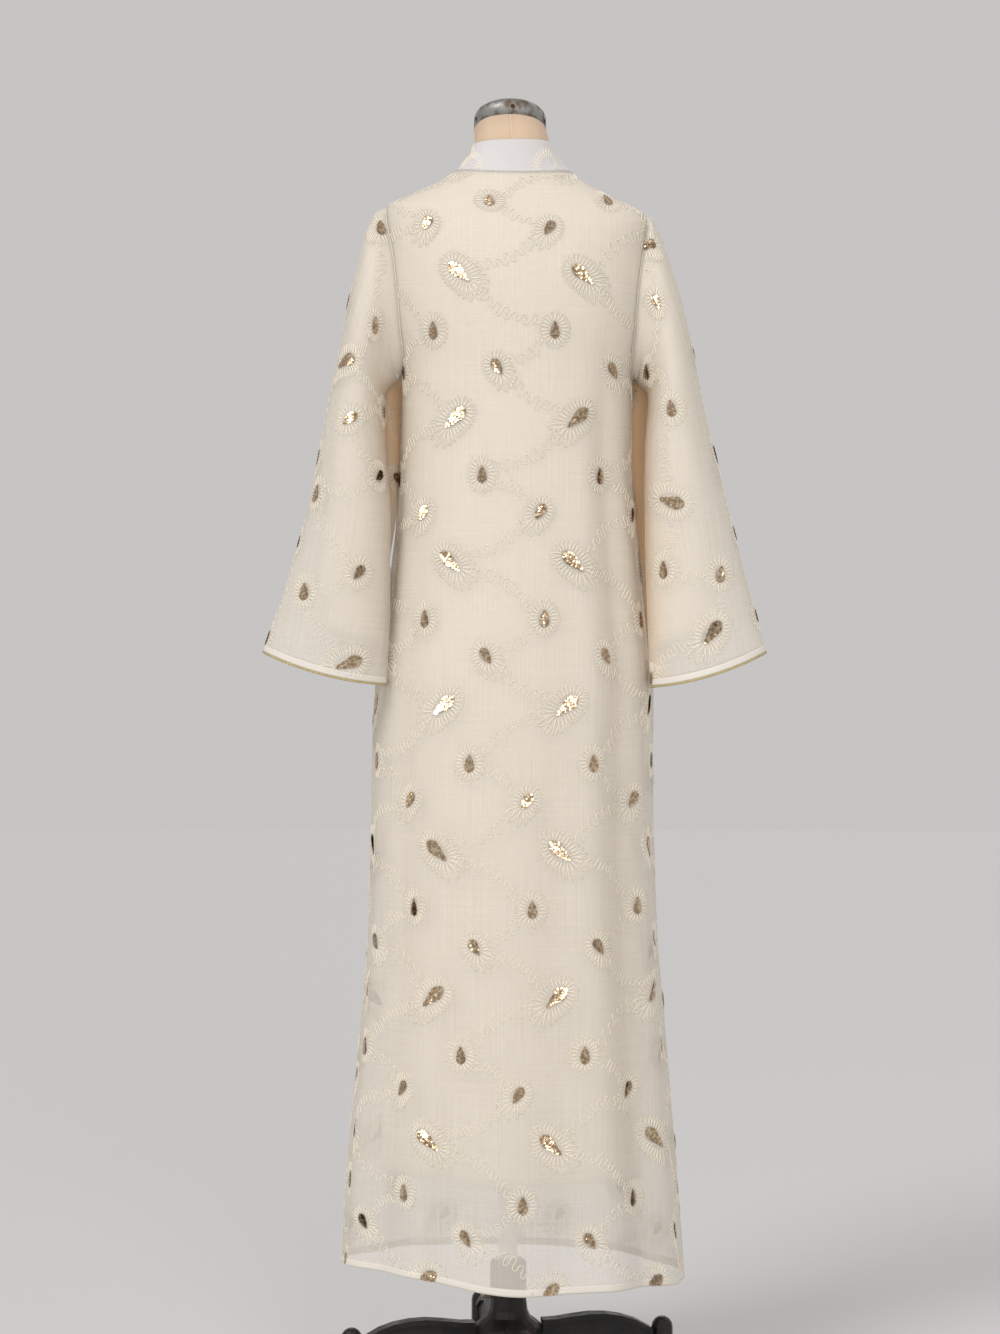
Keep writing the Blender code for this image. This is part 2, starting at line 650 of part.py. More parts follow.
def turned_rings(outline, x, y, sides):
    """Level rings around an upright line through (x, y)."""
    turn = 2 * np.pi * np.arange(sides) / sides
    circle = np.stack([np.cos(turn), np.sin(turn), np.zeros(sides)], -1)
    return [np.array([x, y, row.height]) + circle * row.radius for row in outline]


def build_stand():
    """The steel pole and the cast-iron foot with its four legs and knobbed feet."""
    pole_ends = (
        Turned(POLE_RADIUS, COLUMN_TOP_HEIGHT + SEAM_GAP),
        Turned(POLE_RADIUS, FORM_BOTTOM_HEIGHT - SEAM_GAP),
    )
    add_turned("form_pole", STEEL, turned_rings(pole_ends, STAND_X, 0, SIDES))
    add_turned("base_hub", IRON, turned_rings(HUB, STAND_X, 0, SIDES))
    for number in range(4):
        turn = Matrix.Rotation(STAND_TURN + number * math.pi / 2, 4, "Z")
        place = Matrix.Translation((STAND_X, 0, 0)) @ turn
        build_leg(f"base_leg_{number + 1}", place)
        build_foot(f"base_foot_{number + 1}", place @ Vector((FOOT_DISTANCE, 0, 0)))
    build_clamp()


def build_leg(name, place):
    """A leg with a T-shaped section: a rib along its top and a thinner web under it."""
    rings = []
    for row in LEG:
        rib = row.top - LEG_RIB_DEPTH
        section = (
            (-LEG_RIB_HALF, row.top),
            (LEG_RIB_HALF, row.top),
            (LEG_RIB_HALF, rib),
            (LEG_WEB_HALF, rib),
            (LEG_WEB_HALF, row.bottom),
            (-LEG_WEB_HALF, row.bottom),
            (-LEG_WEB_HALF, rib),
            (-LEG_RIB_HALF, rib),
        )
        rings.append([place @ Vector((row.distance, y, z)) for y, z in section])
    add_turned(name, IRON, rings)


def build_foot(name, middle):
    """A foot with a round knob on top, standing on a flat pad."""
    outline = [
        Turned(FOOT_PAD_RADIUS - EDGE_CUT, 0.0),
        Turned(FOOT_PAD_RADIUS, 0.003),
        Turned(FOOT_PAD_RADIUS, 0.010),
        Turned(FOOT_RADIUS, 0.016),
        Turned(FOOT_RADIUS, KNOB_HEIGHT),
    ]
    for degrees in KNOB_ROUNDING:
        up = math.radians(degrees)
        outline.append(Turned(FOOT_RADIUS * math.cos(up), KNOB_HEIGHT + FOOT_RADIUS * math.sin(up)))
    add_turned(name, IRON, turned_rings(outline, middle.x, middle.y, FOOT_SIDES))


def build_clamp():
    """The small clamp screw on the left of the column."""
    start = STAND_X - COLUMN_RADIUS - SEAM_GAP
    outline = (
        Turned(CLAMP_RADIUS, 0),
        Turned(CLAMP_RADIUS, CLAMP_LENGTH - EDGE_CUT),
        Turned(CLAMP_RADIUS - EDGE_CUT, CLAMP_LENGTH),
    )
    rings = []
    for ring in turned_rings(outline, 0, 0, CLAMP_SIDES):
        across, up, away = ring.T
        rings.append(np.stack([start - away, across, CLAMP_HEIGHT + up], -1))
    add_turned("base_clamp_screw", CLAMP, rings)


def main():
    for thing in list(bpy.data.objects):
        bpy.data.objects.remove(thing, do_unlink=True)
    build_body_panels()
    build_lining_panels()
    build_sleeve("left", -1, LEFT_SLEEVE)
    build_sleeve("right", 1, RIGHT_SLEEVE)
    build_collar()
    build_dress_form()
    build_stand()


main()
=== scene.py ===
"""Sequin abaya on a dress form: its cloth, embroidery, sequins, form and stand.

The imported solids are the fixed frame, and every piece here stands in the same place as its solid.
The garment's back faces -Y, its open front +Y, and +X is the wearer's right. Sizes are in metres.

The body of the garment is one surface of a height and an angle. The angle is -90 degrees at the
centre back, 0 at the wearer's right side, 90 at the centre front and 180 at the left side. Each
panel is a stretch of that surface. Each sleeve is a surface of a row and a turn around its tube.
"""

import logging
import math
from dataclasses import dataclass, field
from enum import Enum
from typing import Callable, NamedTuple, Sequence

import bpy
import numpy as np
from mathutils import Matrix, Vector


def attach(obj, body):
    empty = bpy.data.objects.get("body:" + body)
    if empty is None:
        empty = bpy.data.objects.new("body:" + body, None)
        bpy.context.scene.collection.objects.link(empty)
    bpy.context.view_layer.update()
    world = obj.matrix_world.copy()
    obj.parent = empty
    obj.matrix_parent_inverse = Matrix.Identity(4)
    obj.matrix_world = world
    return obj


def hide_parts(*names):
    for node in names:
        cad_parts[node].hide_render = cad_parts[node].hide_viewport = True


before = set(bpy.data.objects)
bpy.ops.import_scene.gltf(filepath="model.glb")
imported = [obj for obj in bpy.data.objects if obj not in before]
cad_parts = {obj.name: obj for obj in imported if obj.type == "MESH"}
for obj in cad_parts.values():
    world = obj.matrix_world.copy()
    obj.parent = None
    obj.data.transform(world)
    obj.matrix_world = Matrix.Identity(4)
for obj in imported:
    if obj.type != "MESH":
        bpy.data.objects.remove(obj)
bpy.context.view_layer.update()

log = logging.getLogger("abaya")
Array = np.ndarray
Piece = bpy.types.Object
Socket = bpy.types.NodeSocket
Material = bpy.types.Material
Draws = np.random.Generator
Colour = tuple[float, float, float]
SEED = 7

# Cloth
SHELL_WALL = 0.0005
LINING_WALL = 0.0006
COLLAR_WALL = 0.0012
SEAM_GAP = 0.0003
SEAM_ANGLE = 0.001

# Lengths of the garment and its openings, as in the solids
HEM_HEIGHT = 0.172
LINING_HEM_HEIGHT = 0.307
UNDERARM_HEIGHT = 1.372
SHOULDER_TIP_HEIGHT = 1.597
NECKLINE_HEIGHT = 1.649
COLLAR_TOP_HEIGHT = 1.687
ARMHOLE_MIDDLE = (UNDERARM_HEIGHT + SHOULDER_TIP_HEIGHT) / 2
ARMHOLE_HALF = (SHOULDER_TIP_HEIGHT - UNDERARM_HEIGHT) / 2
ARMHOLE_ANGLE = math.radians(23)
FRONT_OVERLAP = 0.014
OVERLAP_LIFT = 0.002
OVERLAP_BLEND = math.radians(24)
MIDDLE_SHIFT = -0.00342
FULLNESS = 0.05
HEM_REACH = 0.4
LINING_FOLDED = (1.05, 0.5)
BACK, SIDE_RIGHT, FRONT, SIDE_LEFT = -math.pi / 2, 0.0, math.pi / 2, math.pi


def rows_of(kind: type, *rows: Sequence[object]) -> tuple:
    """Makes a table, whose rows are all of one kind."""
    return tuple(kind(*row) for row in rows)


class Ring(NamedTuple):
    """One oval ring of the garment's body."""

    height: float
    left: float
    right: float
    back: float
    front: float
    widest: float
    tilt: float = 0.0
    back_rise: float = 0.0
    front_rise: float = 0.0


BODY = rows_of(
    Ring,
    (0.172, 0.232, 0.234, 0.186, 0.186, 0.016), (0.324, 0.222, 0.222, 0.174, 0.177, 0.02),
    (0.481, 0.207, 0.209, 0.16, 0.166, 0.024), (0.634, 0.195, 0.197, 0.149, 0.156, 0.028),
    (0.827, 0.191, 0.192, 0.141, 0.149, 0.03), (0.952, 0.186, 0.192, 0.135, 0.143, 0.03),
    (1.06, 0.171, 0.181, 0.126, 0.138, 0.025), (1.182, 0.156, 0.168, 0.118, 0.134, 0.015),
    (1.276, 0.15, 0.161, 0.113, 0.132, 0.008), (1.377, 0.148, 0.162, 0.111, 0.13, 0.002, 0.001),
    (1.44, 0.16, 0.174, 0.112, 0.123, 0.0, 0.002, 0.0, -0.004),
    (1.484, 0.166, 0.18, 0.111, 0.116, -0.001, 0.003, -0.002, -0.012),
    (1.537, 0.17, 0.184, 0.106, 0.107, -0.002, 0.004, -0.008, -0.027),
    (1.577, 0.172, 0.185, 0.098, 0.098, -0.003, 0.005, -0.014, -0.04),
    (1.597, 0.169, 0.178, 0.09, 0.092, -0.004, 0.005, -0.016, -0.046),
    (1.608, 0.15, 0.157, 0.086, 0.088, -0.005, 0.004, -0.015, -0.049),
    (1.622, 0.12, 0.126, 0.08, 0.083, -0.005, 0.003, -0.012, -0.052),
    (1.636, 0.094, 0.099, 0.073, 0.077, -0.005, 0.002, -0.01, -0.056),
    (1.649, 0.077, 0.081, 0.067, 0.071, -0.004, 0.001, -0.009, -0.059),
    (1.668, 0.062, 0.065, 0.059, 0.061, -0.002, 0.0, -0.005, -0.042),
    (1.687, 0.053, 0.054, 0.054, 0.054, 0.0, -0.001, -0.001, -0.03),
    (1.7, 0.0512, 0.046, 0.052, 0.05, 0.0, 0.0, 0.005, -0.02),
)


class Hem(NamedTuple):
    """The height of the hem at one angle."""

    degrees: float
    height: float


HEM = rows_of(
    Hem,
    (-180, 0.179), (-150, 0.194), (-122, 0.193), (-108, 0.183), (-85, 0.1735), (-60, 0.176),
    (-30, 0.17), (0, 0.158), (40, 0.164), (90, 0.17), (140, 0.174), (180, 0.179),
)


class Fold(NamedTuple):
    """A ridge or trough of the skirt, which grows from its top down to the hem."""

    degrees: float
    spread: float
    depth: float
    top: float


FOLDS = rows_of(
    Fold,
    (-170, 8, -0.006, 1.2), (-154, 8, 0.007, 1.25), (-138, 7, -0.006, 1.2), (-121, 6, 0.006, 0.8),
    (-110, 6, -0.008, 0.55), (-92, 9, 0.003, 0.7), (-74, 8, -0.005, 1.15), (-58, 7, 0.007, 1.5),
    (-43, 6, -0.008, 1.55), (-28, 7, 0.007, 1.5), (-10, 8, -0.006, 1.25), (14, 8, 0.006, 1.2),
    (34, 8, -0.008, 1.3), (54, 8, 0.008, 1.3), (126, 8, 0.008, 1.3), (146, 8, -0.008, 1.3),
    (166, 8, 0.006, 1.2),
)


class SleeveRow(NamedTuple):
    """One oval ring of a sleeve, from its outer to its inner point."""

    outer_x: float
    outer_z: float
    inner_x: float
    inner_z: float
    half_depth: float
    middle_y: float
    sag: float = 0.0


LEFT_SLEEVE = rows_of(
    SleeveRow,
    (-0.186, 1.592, -0.158, 1.3725, 0.052, -0.003), (-0.197, 1.568, -0.165, 1.373, 0.056, -0.004),
    (-0.209, 1.521, -0.171, 1.368, 0.06, -0.005), (-0.22, 1.472, -0.1745, 1.352, 0.063, -0.007),
    (-0.235, 1.392, -0.173, 1.322, 0.065, -0.011), (-0.25, 1.319, -0.17, 1.269, 0.065, -0.018, 0.001),
    (-0.269, 1.211, -0.163, 1.185, 0.06, -0.033, 0.003),
    (-0.298, 1.102, -0.163, 1.072, 0.055, -0.048, 0.005),
    (-0.33, 1.005, -0.167, 0.962, 0.05, -0.06, 0.008),
)
RIGHT_SLEEVE = rows_of(
    SleeveRow,
    (0.191, 1.583, 0.171, 1.3728, 0.052, -0.003), (0.202, 1.558, 0.178, 1.3722, 0.056, -0.004),
    (0.215, 1.519, 0.183, 1.3665, 0.06, -0.005), (0.229, 1.472, 0.186, 1.35, 0.063, -0.007),
    (0.246, 1.392, 0.183, 1.322, 0.065, -0.011), (0.26, 1.319, 0.179, 1.269, 0.065, -0.018, 0.001),
    (0.285, 1.211, 0.178, 1.185, 0.06, -0.033, 0.003),
    (0.311, 1.102, 0.18, 1.072, 0.055, -0.048, 0.005), (0.337, 1.005, 0.184, 0.959, 0.05, -0.06, 0.008),
)


class SleeveLiningRow(NamedTuple):
    """How much of the sleeve's width its lining fills, and how far inside it hangs."""

    share: float
    inset: float


# How far the front of each sleeve folds in towards the body under the arm, row by row
LEFT_TUCK = (0.0, 0.0, 0.016, 0.033, 0.0335, 0.03, 0.021, 0.006, 0.0)
RIGHT_TUCK = (0.0, 0.0, 0.014, 0.0305, 0.0305, 0.0298, 0.025, 0.02, 0.0165)
TUCK_TURN = 1.25 * math.pi
TUCK_SPREAD = 0.34

# How far the armpit of both sleeves reaches in towards the body, row by row
ARMPIT = (0.0, 0.011, 0.014, 0.003, 0.0, 0.0, 0.0, 0.0, 0.0)
ARMPIT_SPREAD = 0.6

# Painted glow and shade: how strongly the doubled cloth under the arm is painted tan, row by row, standing in
# for warm light filtered through its layers in the fold's shade
LEFT_PAINTED_GLOW = (0.0, 0.0, 0.35, 0.9, 1.0, 0.85, 0.5, 0.3, 0.2)
RIGHT_PAINTED_GLOW = (0.0, 0.1, 0.5, 0.95, 1.0, 1.0, 1.0, 0.95, 0.8)
PAINTED_GLOW_TURN = 1.17 * math.pi
PAINTED_GLOW_SPREAD_BACK = 0.85
PAINTED_GLOW_SPREAD_FRONT = 0.42

SLEEVE_LINING = rows_of(
    SleeveLiningRow,
    (1.0, 0.003), (1.0, 0.0032), (0.98, 0.0032), (0.96, 0.0032), (0.92, 0.003), (0.88, 0.0035),
    (0.8, 0.004), (0.72, 0.0045), (0.66, 0.005),
)
SLEEVE_LINING_START = 0.0022
SLEEVE_LINING_END = 0.5
PIPING_WIDTH = 0.0028
SOLID_WALL = 0.0012


class Inset(NamedTuple):
    """How far something hangs inside the shell at one height."""

    height: float
    inset: float


LINING_SLACK = rows_of(
    Inset,
    (0.172, 0.058), (0.324, 0.046), (0.481, 0.031), (0.634, 0.02), (0.827, 0.014), (0.952, 0.01),
    (1.182, 0.005), (1.372, 0.0022), (1.44, 0.0017), (1.484, 0.0015), (1.577, 0.0018), (1.602, 0.002),
    (1.649, 0.0015),
)
FORM_INSET = rows_of(
    Inset,
    (0.84, 0.031), (0.952, 0.024), (1.06, 0.026), (1.182, 0.042), (1.276, 0.024), (1.377, 0.011),
    (1.44, 0.0085), (1.537, 0.0075), (1.577, 0.008), (1.597, 0.007), (1.608, 0.0056), (1.636, 0.0046),
    (1.649, 0.004), (1.668, 0.0036), (1.687, 0.003), (1.7, 0.0),
)


def smooth(keys: Sequence[float], values: Sequence[float], at: Array) -> Array:
    """Reads a curve with no overshoot.

    Between two keys it is a cubic. Its slope at a key is the harmonic mean of the slopes beside
    it, or zero where they differ in sign.

    Args:
        keys: rising keys.
        values: the curve's value at each key.
        at: where it is read.

    Returns:
        The curve's value at each of at.
    """
    keys = np.asarray(keys, float)
    values = np.asarray(values, float)
    at = np.clip(np.asarray(at, float), keys[0], keys[-1])
    step = np.diff(keys)
    rise = np.diff(values) / step
    slope = np.zeros(len(keys))
    same = rise[:-1] * rise[1:] > 0
    low, high = rise[:-1][same], rise[1:][same]
    slope[1:-1][same] = 2 * low * high / (low + high)
    slope[0] = rise[0]
    slope[-1] = rise[-1]
    i = np.clip(np.searchsorted(keys, at, side="right") - 1, 0, len(step) - 1)
    t = (at - keys[i]) / step[i]
    start = (1 + 2 * t) * (1 - t) ** 2 * values[i] + t * (1 - t) ** 2 * step[i] * slope[i]
    end = t**2 * (3 - 2 * t) * values[i + 1] + t**2 * (t - 1) * step[i] * slope[i + 1]
    return start + end


def column(table: Sequence[NamedTuple], key: str, name: str, at: Array) -> Array:
    """Reads one named column of a table as a smooth curve over its key column."""
    return smooth([getattr(row, key) for row in table], [getattr(row, name) for row in table], at)


def ease(t: Array) -> Array:
    """Gives 0 below 0, 1 above 1, and a soft step between."""
    t = np.clip(t, 0, 1)
    return t * t * (3 - 2 * t)


def together(a: Array, b: Array) -> tuple[Array, Array]:
    """Brings two arrays of numbers to one shape."""
    return np.broadcast_arrays(np.asarray(a, float), np.asarray(b, float))


def even_turns(count: int) -> Array:
    """Gives even turns around a circle, in radians."""
    return 2 * np.pi * np.arange(count) / count


def unit(vectors: Array) -> Array:
    """Scales vectors to a length of 1."""
    return vectors / np.maximum(np.linalg.norm(vectors, axis=-1, keepdims=True), 1e-12)


def turned_about(vectors: Array, axes: Array, angles: Array) -> Array:
    """Turns vectors about unit axes: the part along the axis stays, and the rest swings by the angle."""
    c, s = np.cos(angles)[..., None], np.sin(angles)[..., None]
    along = axes * np.sum(axes * vectors, -1, keepdims=True)
    return along + (vectors - along) * c + np.cross(axes, vectors) * s


class BodySurface:
    """The garment's body as a surface of a height and an angle.

    A ring is an oval made a little squarer. The folds push it out along the oval's own normal, and
    the hem's rise and fall fades out over its reach.
    """

    @staticmethod
    def folds(height: Array, angle: Array) -> Array:
        """Sums the folds: each is a bell over the angle, and deepens from its top downwards."""
        degrees = np.degrees(angle)
        total = np.zeros(np.broadcast(height, angle).shape)
        for fold in FOLDS:
            away = (degrees - fold.degrees + 180) % 360 - 180
            share = np.clip((fold.top - height) / (fold.top - HEM_HEIGHT), 0, 1)
            growth = share * (2 - share) * ease(5 * share)
            total = total + fold.depth * growth * np.exp(-((away / fold.spread) ** 2))
        return total

    @staticmethod
    def point(height: Array, angle: Array, folded: Array | float = 1.0) -> Array:
        """Places points on the outer face.

        Args:
            height: heights above the floor.
            angle: angles around the ring, in radians.
            folded: the share of the folds' depth that the surface takes.

        Returns:
            Points, one for each height and angle.
        """
        height, angle = together(height, angle)
        c, s = np.cos(angle), np.sin(angle)
        read = lambda name: column(BODY, "height", name, height)
        left, right, widest = read("left"), read("right"), read("widest")
        half = (left + right) / 2
        depth = np.where(s < 0, read("back") + widest, read("front") - widest)
        x = (right - left) / 2 + half * c * (1 + FULLNESS * s * s)
        y = widest + depth * s * (1 + FULLNESS * c * c)
        rise = np.where(s < 0, read("back_rise"), read("front_rise"))
        z = height - read("tilt") * c + s * s * rise
        degrees = (np.degrees(angle) + 180) % 360 - 180
        hem = column(HEM, "degrees", "height", degrees) - HEM_HEIGHT
        z = z + hem * np.clip(1 - (height - HEM_HEIGHT) / HEM_REACH, 0, 1) ** 2
        across = unit(np.stack([c / half, s / depth], -1))
        fold = BodySurface.folds(height, angle) * folded
        x = x + fold * across[..., 0] + MIDDLE_SHIFT
        y = y + fold * across[..., 1]
        return np.stack([x, y, z], -1)

    @staticmethod
    def slopes(height: Array, angle: Array, folded: Array | float = 1.0) -> tuple[Array, Array]:
        """Gives the directions along the ring and up the cloth, by small steps to both sides."""
        turn, rise = 0.004, 0.0015
        at = BodySurface.point
        along = at(height, angle + turn, folded) - at(height, angle - turn, folded)
        up = at(height + rise, angle, folded) - at(height - rise, angle, folded)
        return along / (2 * turn), up / (2 * rise)

    @staticmethod
    def normal(height: Array, angle: Array, folded: Array | float = 1.0) -> Array:
        """Gives the direction out of the cloth: along the ring crossed with up."""
        along, up = BodySurface.slopes(height, angle, folded)
        return unit(np.cross(along, up))


class SleeveSurface:
    """A sleeve as a surface of a row, 0 at the armhole, and a turn, 0 at its outer line.

    Below row 1 the rings are ovals between an outer and an inner point. Between the armhole's edge
    and the first oval each point follows a cubic that leaves and arrives smoothly.
    """

    def __init__(self, side: int, table: Sequence[SleeveRow], tuck: Sequence[float]) -> None:
        """Keeps the side, 1 for the wearer's right, the table of ovals and the fold under the arm."""
        self.side = side
        self.table = table
        self.tuck = tuck
        self.last = float(len(table))

    def armhole(self, turn: Array) -> Array:
        """Places points on the armhole's edge, down the back and up the front."""
        height = ARMHOLE_MIDDLE + ARMHOLE_HALF * np.cos(turn)
        cut = -ARMHOLE_ANGLE * np.sin(turn)
        return BodySurface.point(height, cut if self.side > 0 else np.pi - cut)

    def oval(self, row: Array, turn: Array) -> Array:
        """Places points on the ovals, whose sizes are smooth curves over the rows."""
        keys = np.arange(1, len(self.table) + 1)
        read = lambda name: smooth(keys, [getattr(r, name) for r in self.table], row)
        outer_x, inner_x = read("outer_x"), read("inner_x")
        outer_z, inner_z = read("outer_z"), read("inner_z")
        c, s = np.cos(turn), np.sin(turn)
        x = (outer_x + inner_x) / 2 + c * (outer_x - inner_x) / 2 + MIDDLE_SHIFT
        away = (turn - TUCK_TURN + np.pi) % (2 * np.pi) - np.pi
        x = x - self.side * smooth(keys, self.tuck, row) * np.exp(-((away / TUCK_SPREAD) ** 2))
        away = (turn % (2 * np.pi)) - np.pi
        x = x - self.side * smooth(keys, ARMPIT, row) * np.exp(-((away / ARMPIT_SPREAD) ** 2))
        y = read("middle_y") - s * read("half_depth")
        z = (outer_z + inner_z) / 2 + c * (outer_z - inner_z) / 2 - s * s * read("sag")
        return np.stack([x, y, z], -1)

    def point(self, row: Array, turn: Array) -> Array:
        """Places points on the sleeve's outer face."""
        row, turn = together(row, turn)
        start = self.armhole(turn)
        first = self.oval(np.ones_like(row), turn)
        step = 0.02
        leave = first - start
        arrive = (self.oval(np.full_like(row, 1 + step), turn) - first) / step
        t = np.clip(row, 0, 1)[..., None]
        cubic = (1 + 2 * t) * (1 - t) ** 2 * start + t * (1 - t) ** 2 * leave
        cubic = cubic + t**2 * (3 - 2 * t) * first + t**2 * (t - 1) * arrive
        return np.where(row[..., None] < 1, cubic, self.oval(np.maximum(row, 1), turn))

    def slopes(self, row: Array, turn: Array) -> tuple[Array, Array]:
        """Gives the directions around the sleeve and down it, by small steps to both sides."""
        around, down = 0.02, 0.02
        low, high = np.maximum(row - down, 0), np.minimum(row + down, self.last)
        along = self.point(row, turn + around) - self.point(row, turn - around)
        length = self.point(high, turn) - self.point(low, turn)
        return along / (2 * around), length / (high - low)[..., None]

    def painted_glow(self, table: Sequence[float], row: Array, turn: Array) -> Array:
        """Gives the painted glow and shade under the arm: a bell over the turn, whose height is a curve over
        the rows.
        """
        away = (turn - PAINTED_GLOW_TURN + np.pi) % (2 * np.pi) - np.pi
        spread = np.where(away < 0, PAINTED_GLOW_SPREAD_BACK, PAINTED_GLOW_SPREAD_FRONT)
        return smooth(np.arange(1, len(table) + 1), table, row) * np.exp(-((away / spread) ** 2))

    def normal(self, row: Array, turn: Array) -> Array:
        """Gives the direction out of the sleeve."""
        row, turn = together(row, turn)
        around, down = self.slopes(row, turn)
        return unit(np.cross(around, down)) * self.side


def armhole_angle(height: Array) -> Array:
    """Gives half the angle that the armhole cuts out of the ring at each height."""
    t = np.clip((height - ARMHOLE_MIDDLE) / ARMHOLE_HALF, -1, 1)
    return ARMHOLE_ANGLE * np.sqrt(1 - t * t)


class LappedSurface(BodySurface):
    """The body's surface as the right front covers it, lifted towards the lap."""

    @staticmethod
    def point(height: Array, angle: Array) -> Array:
        """Places points on the right front: the surface and the lift along its normal."""
        lift = OVERLAP_LIFT * ease((angle - (FRONT - OVERLAP_BLEND)) / (OVERLAP_BLEND / 2))
        return BodySurface.point(height, angle) + BodySurface.normal(height, angle) * lift[..., None]


def put_mesh(name: str, points: Array, groups: Sequence[Array], uv: Array | None = None) -> Piece:
    """Makes an object from arrays, with its place in its mesh.

    Args:
        name: the piece's name.
        points: its points, as rows of three.
        groups: its faces, as arrays of point numbers. The faces of one array have one number of sides.
        uv: texture places in metres, one for each point.

    Returns:
        The new object, smooth shaded.
    """
    mesh = bpy.data.meshes.new(name)
    corners = np.concatenate([group.ravel() for group in groups]).astype(np.int32)
    sides = np.concatenate([np.full(len(group), group.shape[1]) for group in groups])
    starts = np.concatenate([[0], np.cumsum(sides)[:-1]]).astype(np.int32)
    mesh.vertices.add(len(points))
    mesh.vertices.foreach_set("co", np.ascontiguousarray(points, np.float32).ravel())
    mesh.loops.add(len(corners))
    mesh.loops.foreach_set("vertex_index", corners)
    mesh.polygons.add(len(sides))
    mesh.polygons.foreach_set("loop_start", starts)
    mesh.update(calc_edges=True)
    if uv is not None:
        layer = mesh.uv_layers.new(name="Cloth")
        layer.data.foreach_set("uv", np.ascontiguousarray(uv[corners], np.float32).ravel())
    mesh.shade_smooth()
    thing = bpy.data.objects.new(name, mesh)
    bpy.context.scene.collection.objects.link(thing)
    return thing


def grid_faces(rows: int, columns: int, closed: bool) -> Array:
    """Gives the four-sided faces of a grid of points, which may close around its rows."""
    i = np.arange(rows - 1)[:, None]
    j = np.arange(columns if closed else columns - 1)[None, :]
    right = (j + 1) % columns
    corners = [i * columns + j, i * columns + right, (i + 1) * columns + right, (i + 1) * columns + j]
    return np.stack(corners, -1).reshape(-1, 4)


def look_out(points: Array, faces: Array, out: Array) -> bool:
    """Tells whether four-sided faces look outwards, given a direction out of each."""
    a, b, c = (points[faces[:, k]] for k in (0, 1, 3))
    return bool(np.sum(np.cross(b - a, c - a) * out) >= 0)


def put_wall(name: str, outer: Array, inner: Array, zero: int, closed: bool = False) -> Piece:
    """Makes a wall between two grids of points, closed at its edges.

    The outer grid faces out, the inner grid is turned round, and a strip of faces joins them along
    each edge. All are turned over together where the grid runs the other way.

    Args:
        name: the piece's name.
        outer: the outer face's points, by row and column.
        inner: the inner face's points.
        zero: the column from which the cloth is measured.
        closed: whether it is a tube around its rows.

    Returns:
        The new object.
    """
    rows, columns = outer.shape[:2]
    count = rows * columns
    number = np.arange(count).reshape(rows, columns)
    shell = grid_faces(rows, columns, closed)
    ends = [number[0], number[-1][::-1]]
    if closed:
        ends = [np.append(edge, edge[0]) for edge in ends]
    else:
        ends += [number[:, 0][::-1], number[:, -1]]
    strips = [np.stack([e[1:], e[:-1], e[:-1] + count, e[1:] + count], -1) for e in ends]
    faces = np.concatenate([shell, shell[:, ::-1] + count] + strips)
    flat = outer.reshape(-1, 3)
    if not look_out(flat, shell, (outer - inner).reshape(-1, 3)[shell[:, 0]]):
        faces = faces[:, ::-1]
    points = np.concatenate([flat, inner.reshape(-1, 3)])
    return put_mesh(name, points, [faces], np.tile(cloth_places(outer, zero, zero).reshape(-1, 2), (2, 1)))


def put_number(piece: Piece, name: str, values: Array) -> None:
    """Gives each point of a mesh a number, which its material reads by name."""
    layer = piece.data.attributes.new(name, "FLOAT", "POINT")
    layer.data.foreach_set("value", np.ascontiguousarray(values, np.float32).ravel())


def put_turned(name: str, rings: Array) -> Piece:
    """Makes a closed solid from rings of points, with a flat face at each end."""
    levels, count = rings.shape[:2]
    sides = grid_faces(levels, count, True)
    ends = np.stack([np.arange(count)[::-1], np.arange(count) + (levels - 1) * count])
    points = rings.reshape(-1, 3)
    if not look_out(points, sides, points[sides[:, 0]] - points.mean(axis=0)):
        sides, ends = sides[:, ::-1], ends[:, ::-1]
    span = np.linalg.norm(np.diff(rings, axis=0), axis=-1).mean(axis=1)
    down = np.concatenate([[0], np.cumsum(span)])[:, None] * np.ones(count)
    girth = np.linalg.norm(np.roll(rings, -1, axis=1) - rings, axis=-1).sum(axis=1).mean()
    around = np.linspace(0, girth, count)[None, :] * np.ones((levels, 1))
    return put_mesh(name, points, [sides, ends], np.stack([around, down], -1).reshape(-1, 2))


def put_domes(name: str, rings: Array) -> Piece:
    """Makes closed low domes as one mesh, from their points by dome, ring and turn."""
    domes, levels, count = rings.shape[:3]
    start = np.arange(domes)[:, None, None] * count * levels
    sides = (grid_faces(levels, count, True)[None] + start).reshape(-1, 4)
    tops = np.arange(count)[None, :] + start[:, 0] + (levels - 1) * count
    bottoms = np.arange(count)[None, ::-1] + start[:, 0]
    return put_mesh(name, rings.reshape(-1, 3), [sides, tops, bottoms])


def cloth_places(points: Array, zero: int, middle: int) -> Array:
    """Measures a grid of cloth in metres along its own face.

    Across is the length along the row from column zero, and up is the length along the middle
    column, taken for the whole row.

    Args:
        points: the grid's points.
        zero: the column where across is nought.
        middle: the column along which up is measured.

    Returns:
        The place of each point, as across and up.
    """
    steps = np.linalg.norm(np.diff(points, axis=1), axis=-1)
    across = np.concatenate([np.zeros((len(points), 1)), np.cumsum(steps, axis=1)], axis=1)
    across = across - across[:, zero][:, None]
    rise = np.linalg.norm(np.diff(points[:, middle], axis=0), axis=-1)
    up = np.concatenate([[0], np.cumsum(rise)])[:, None] * np.ones(points.shape[1])
    return np.stack([across, up], -1)


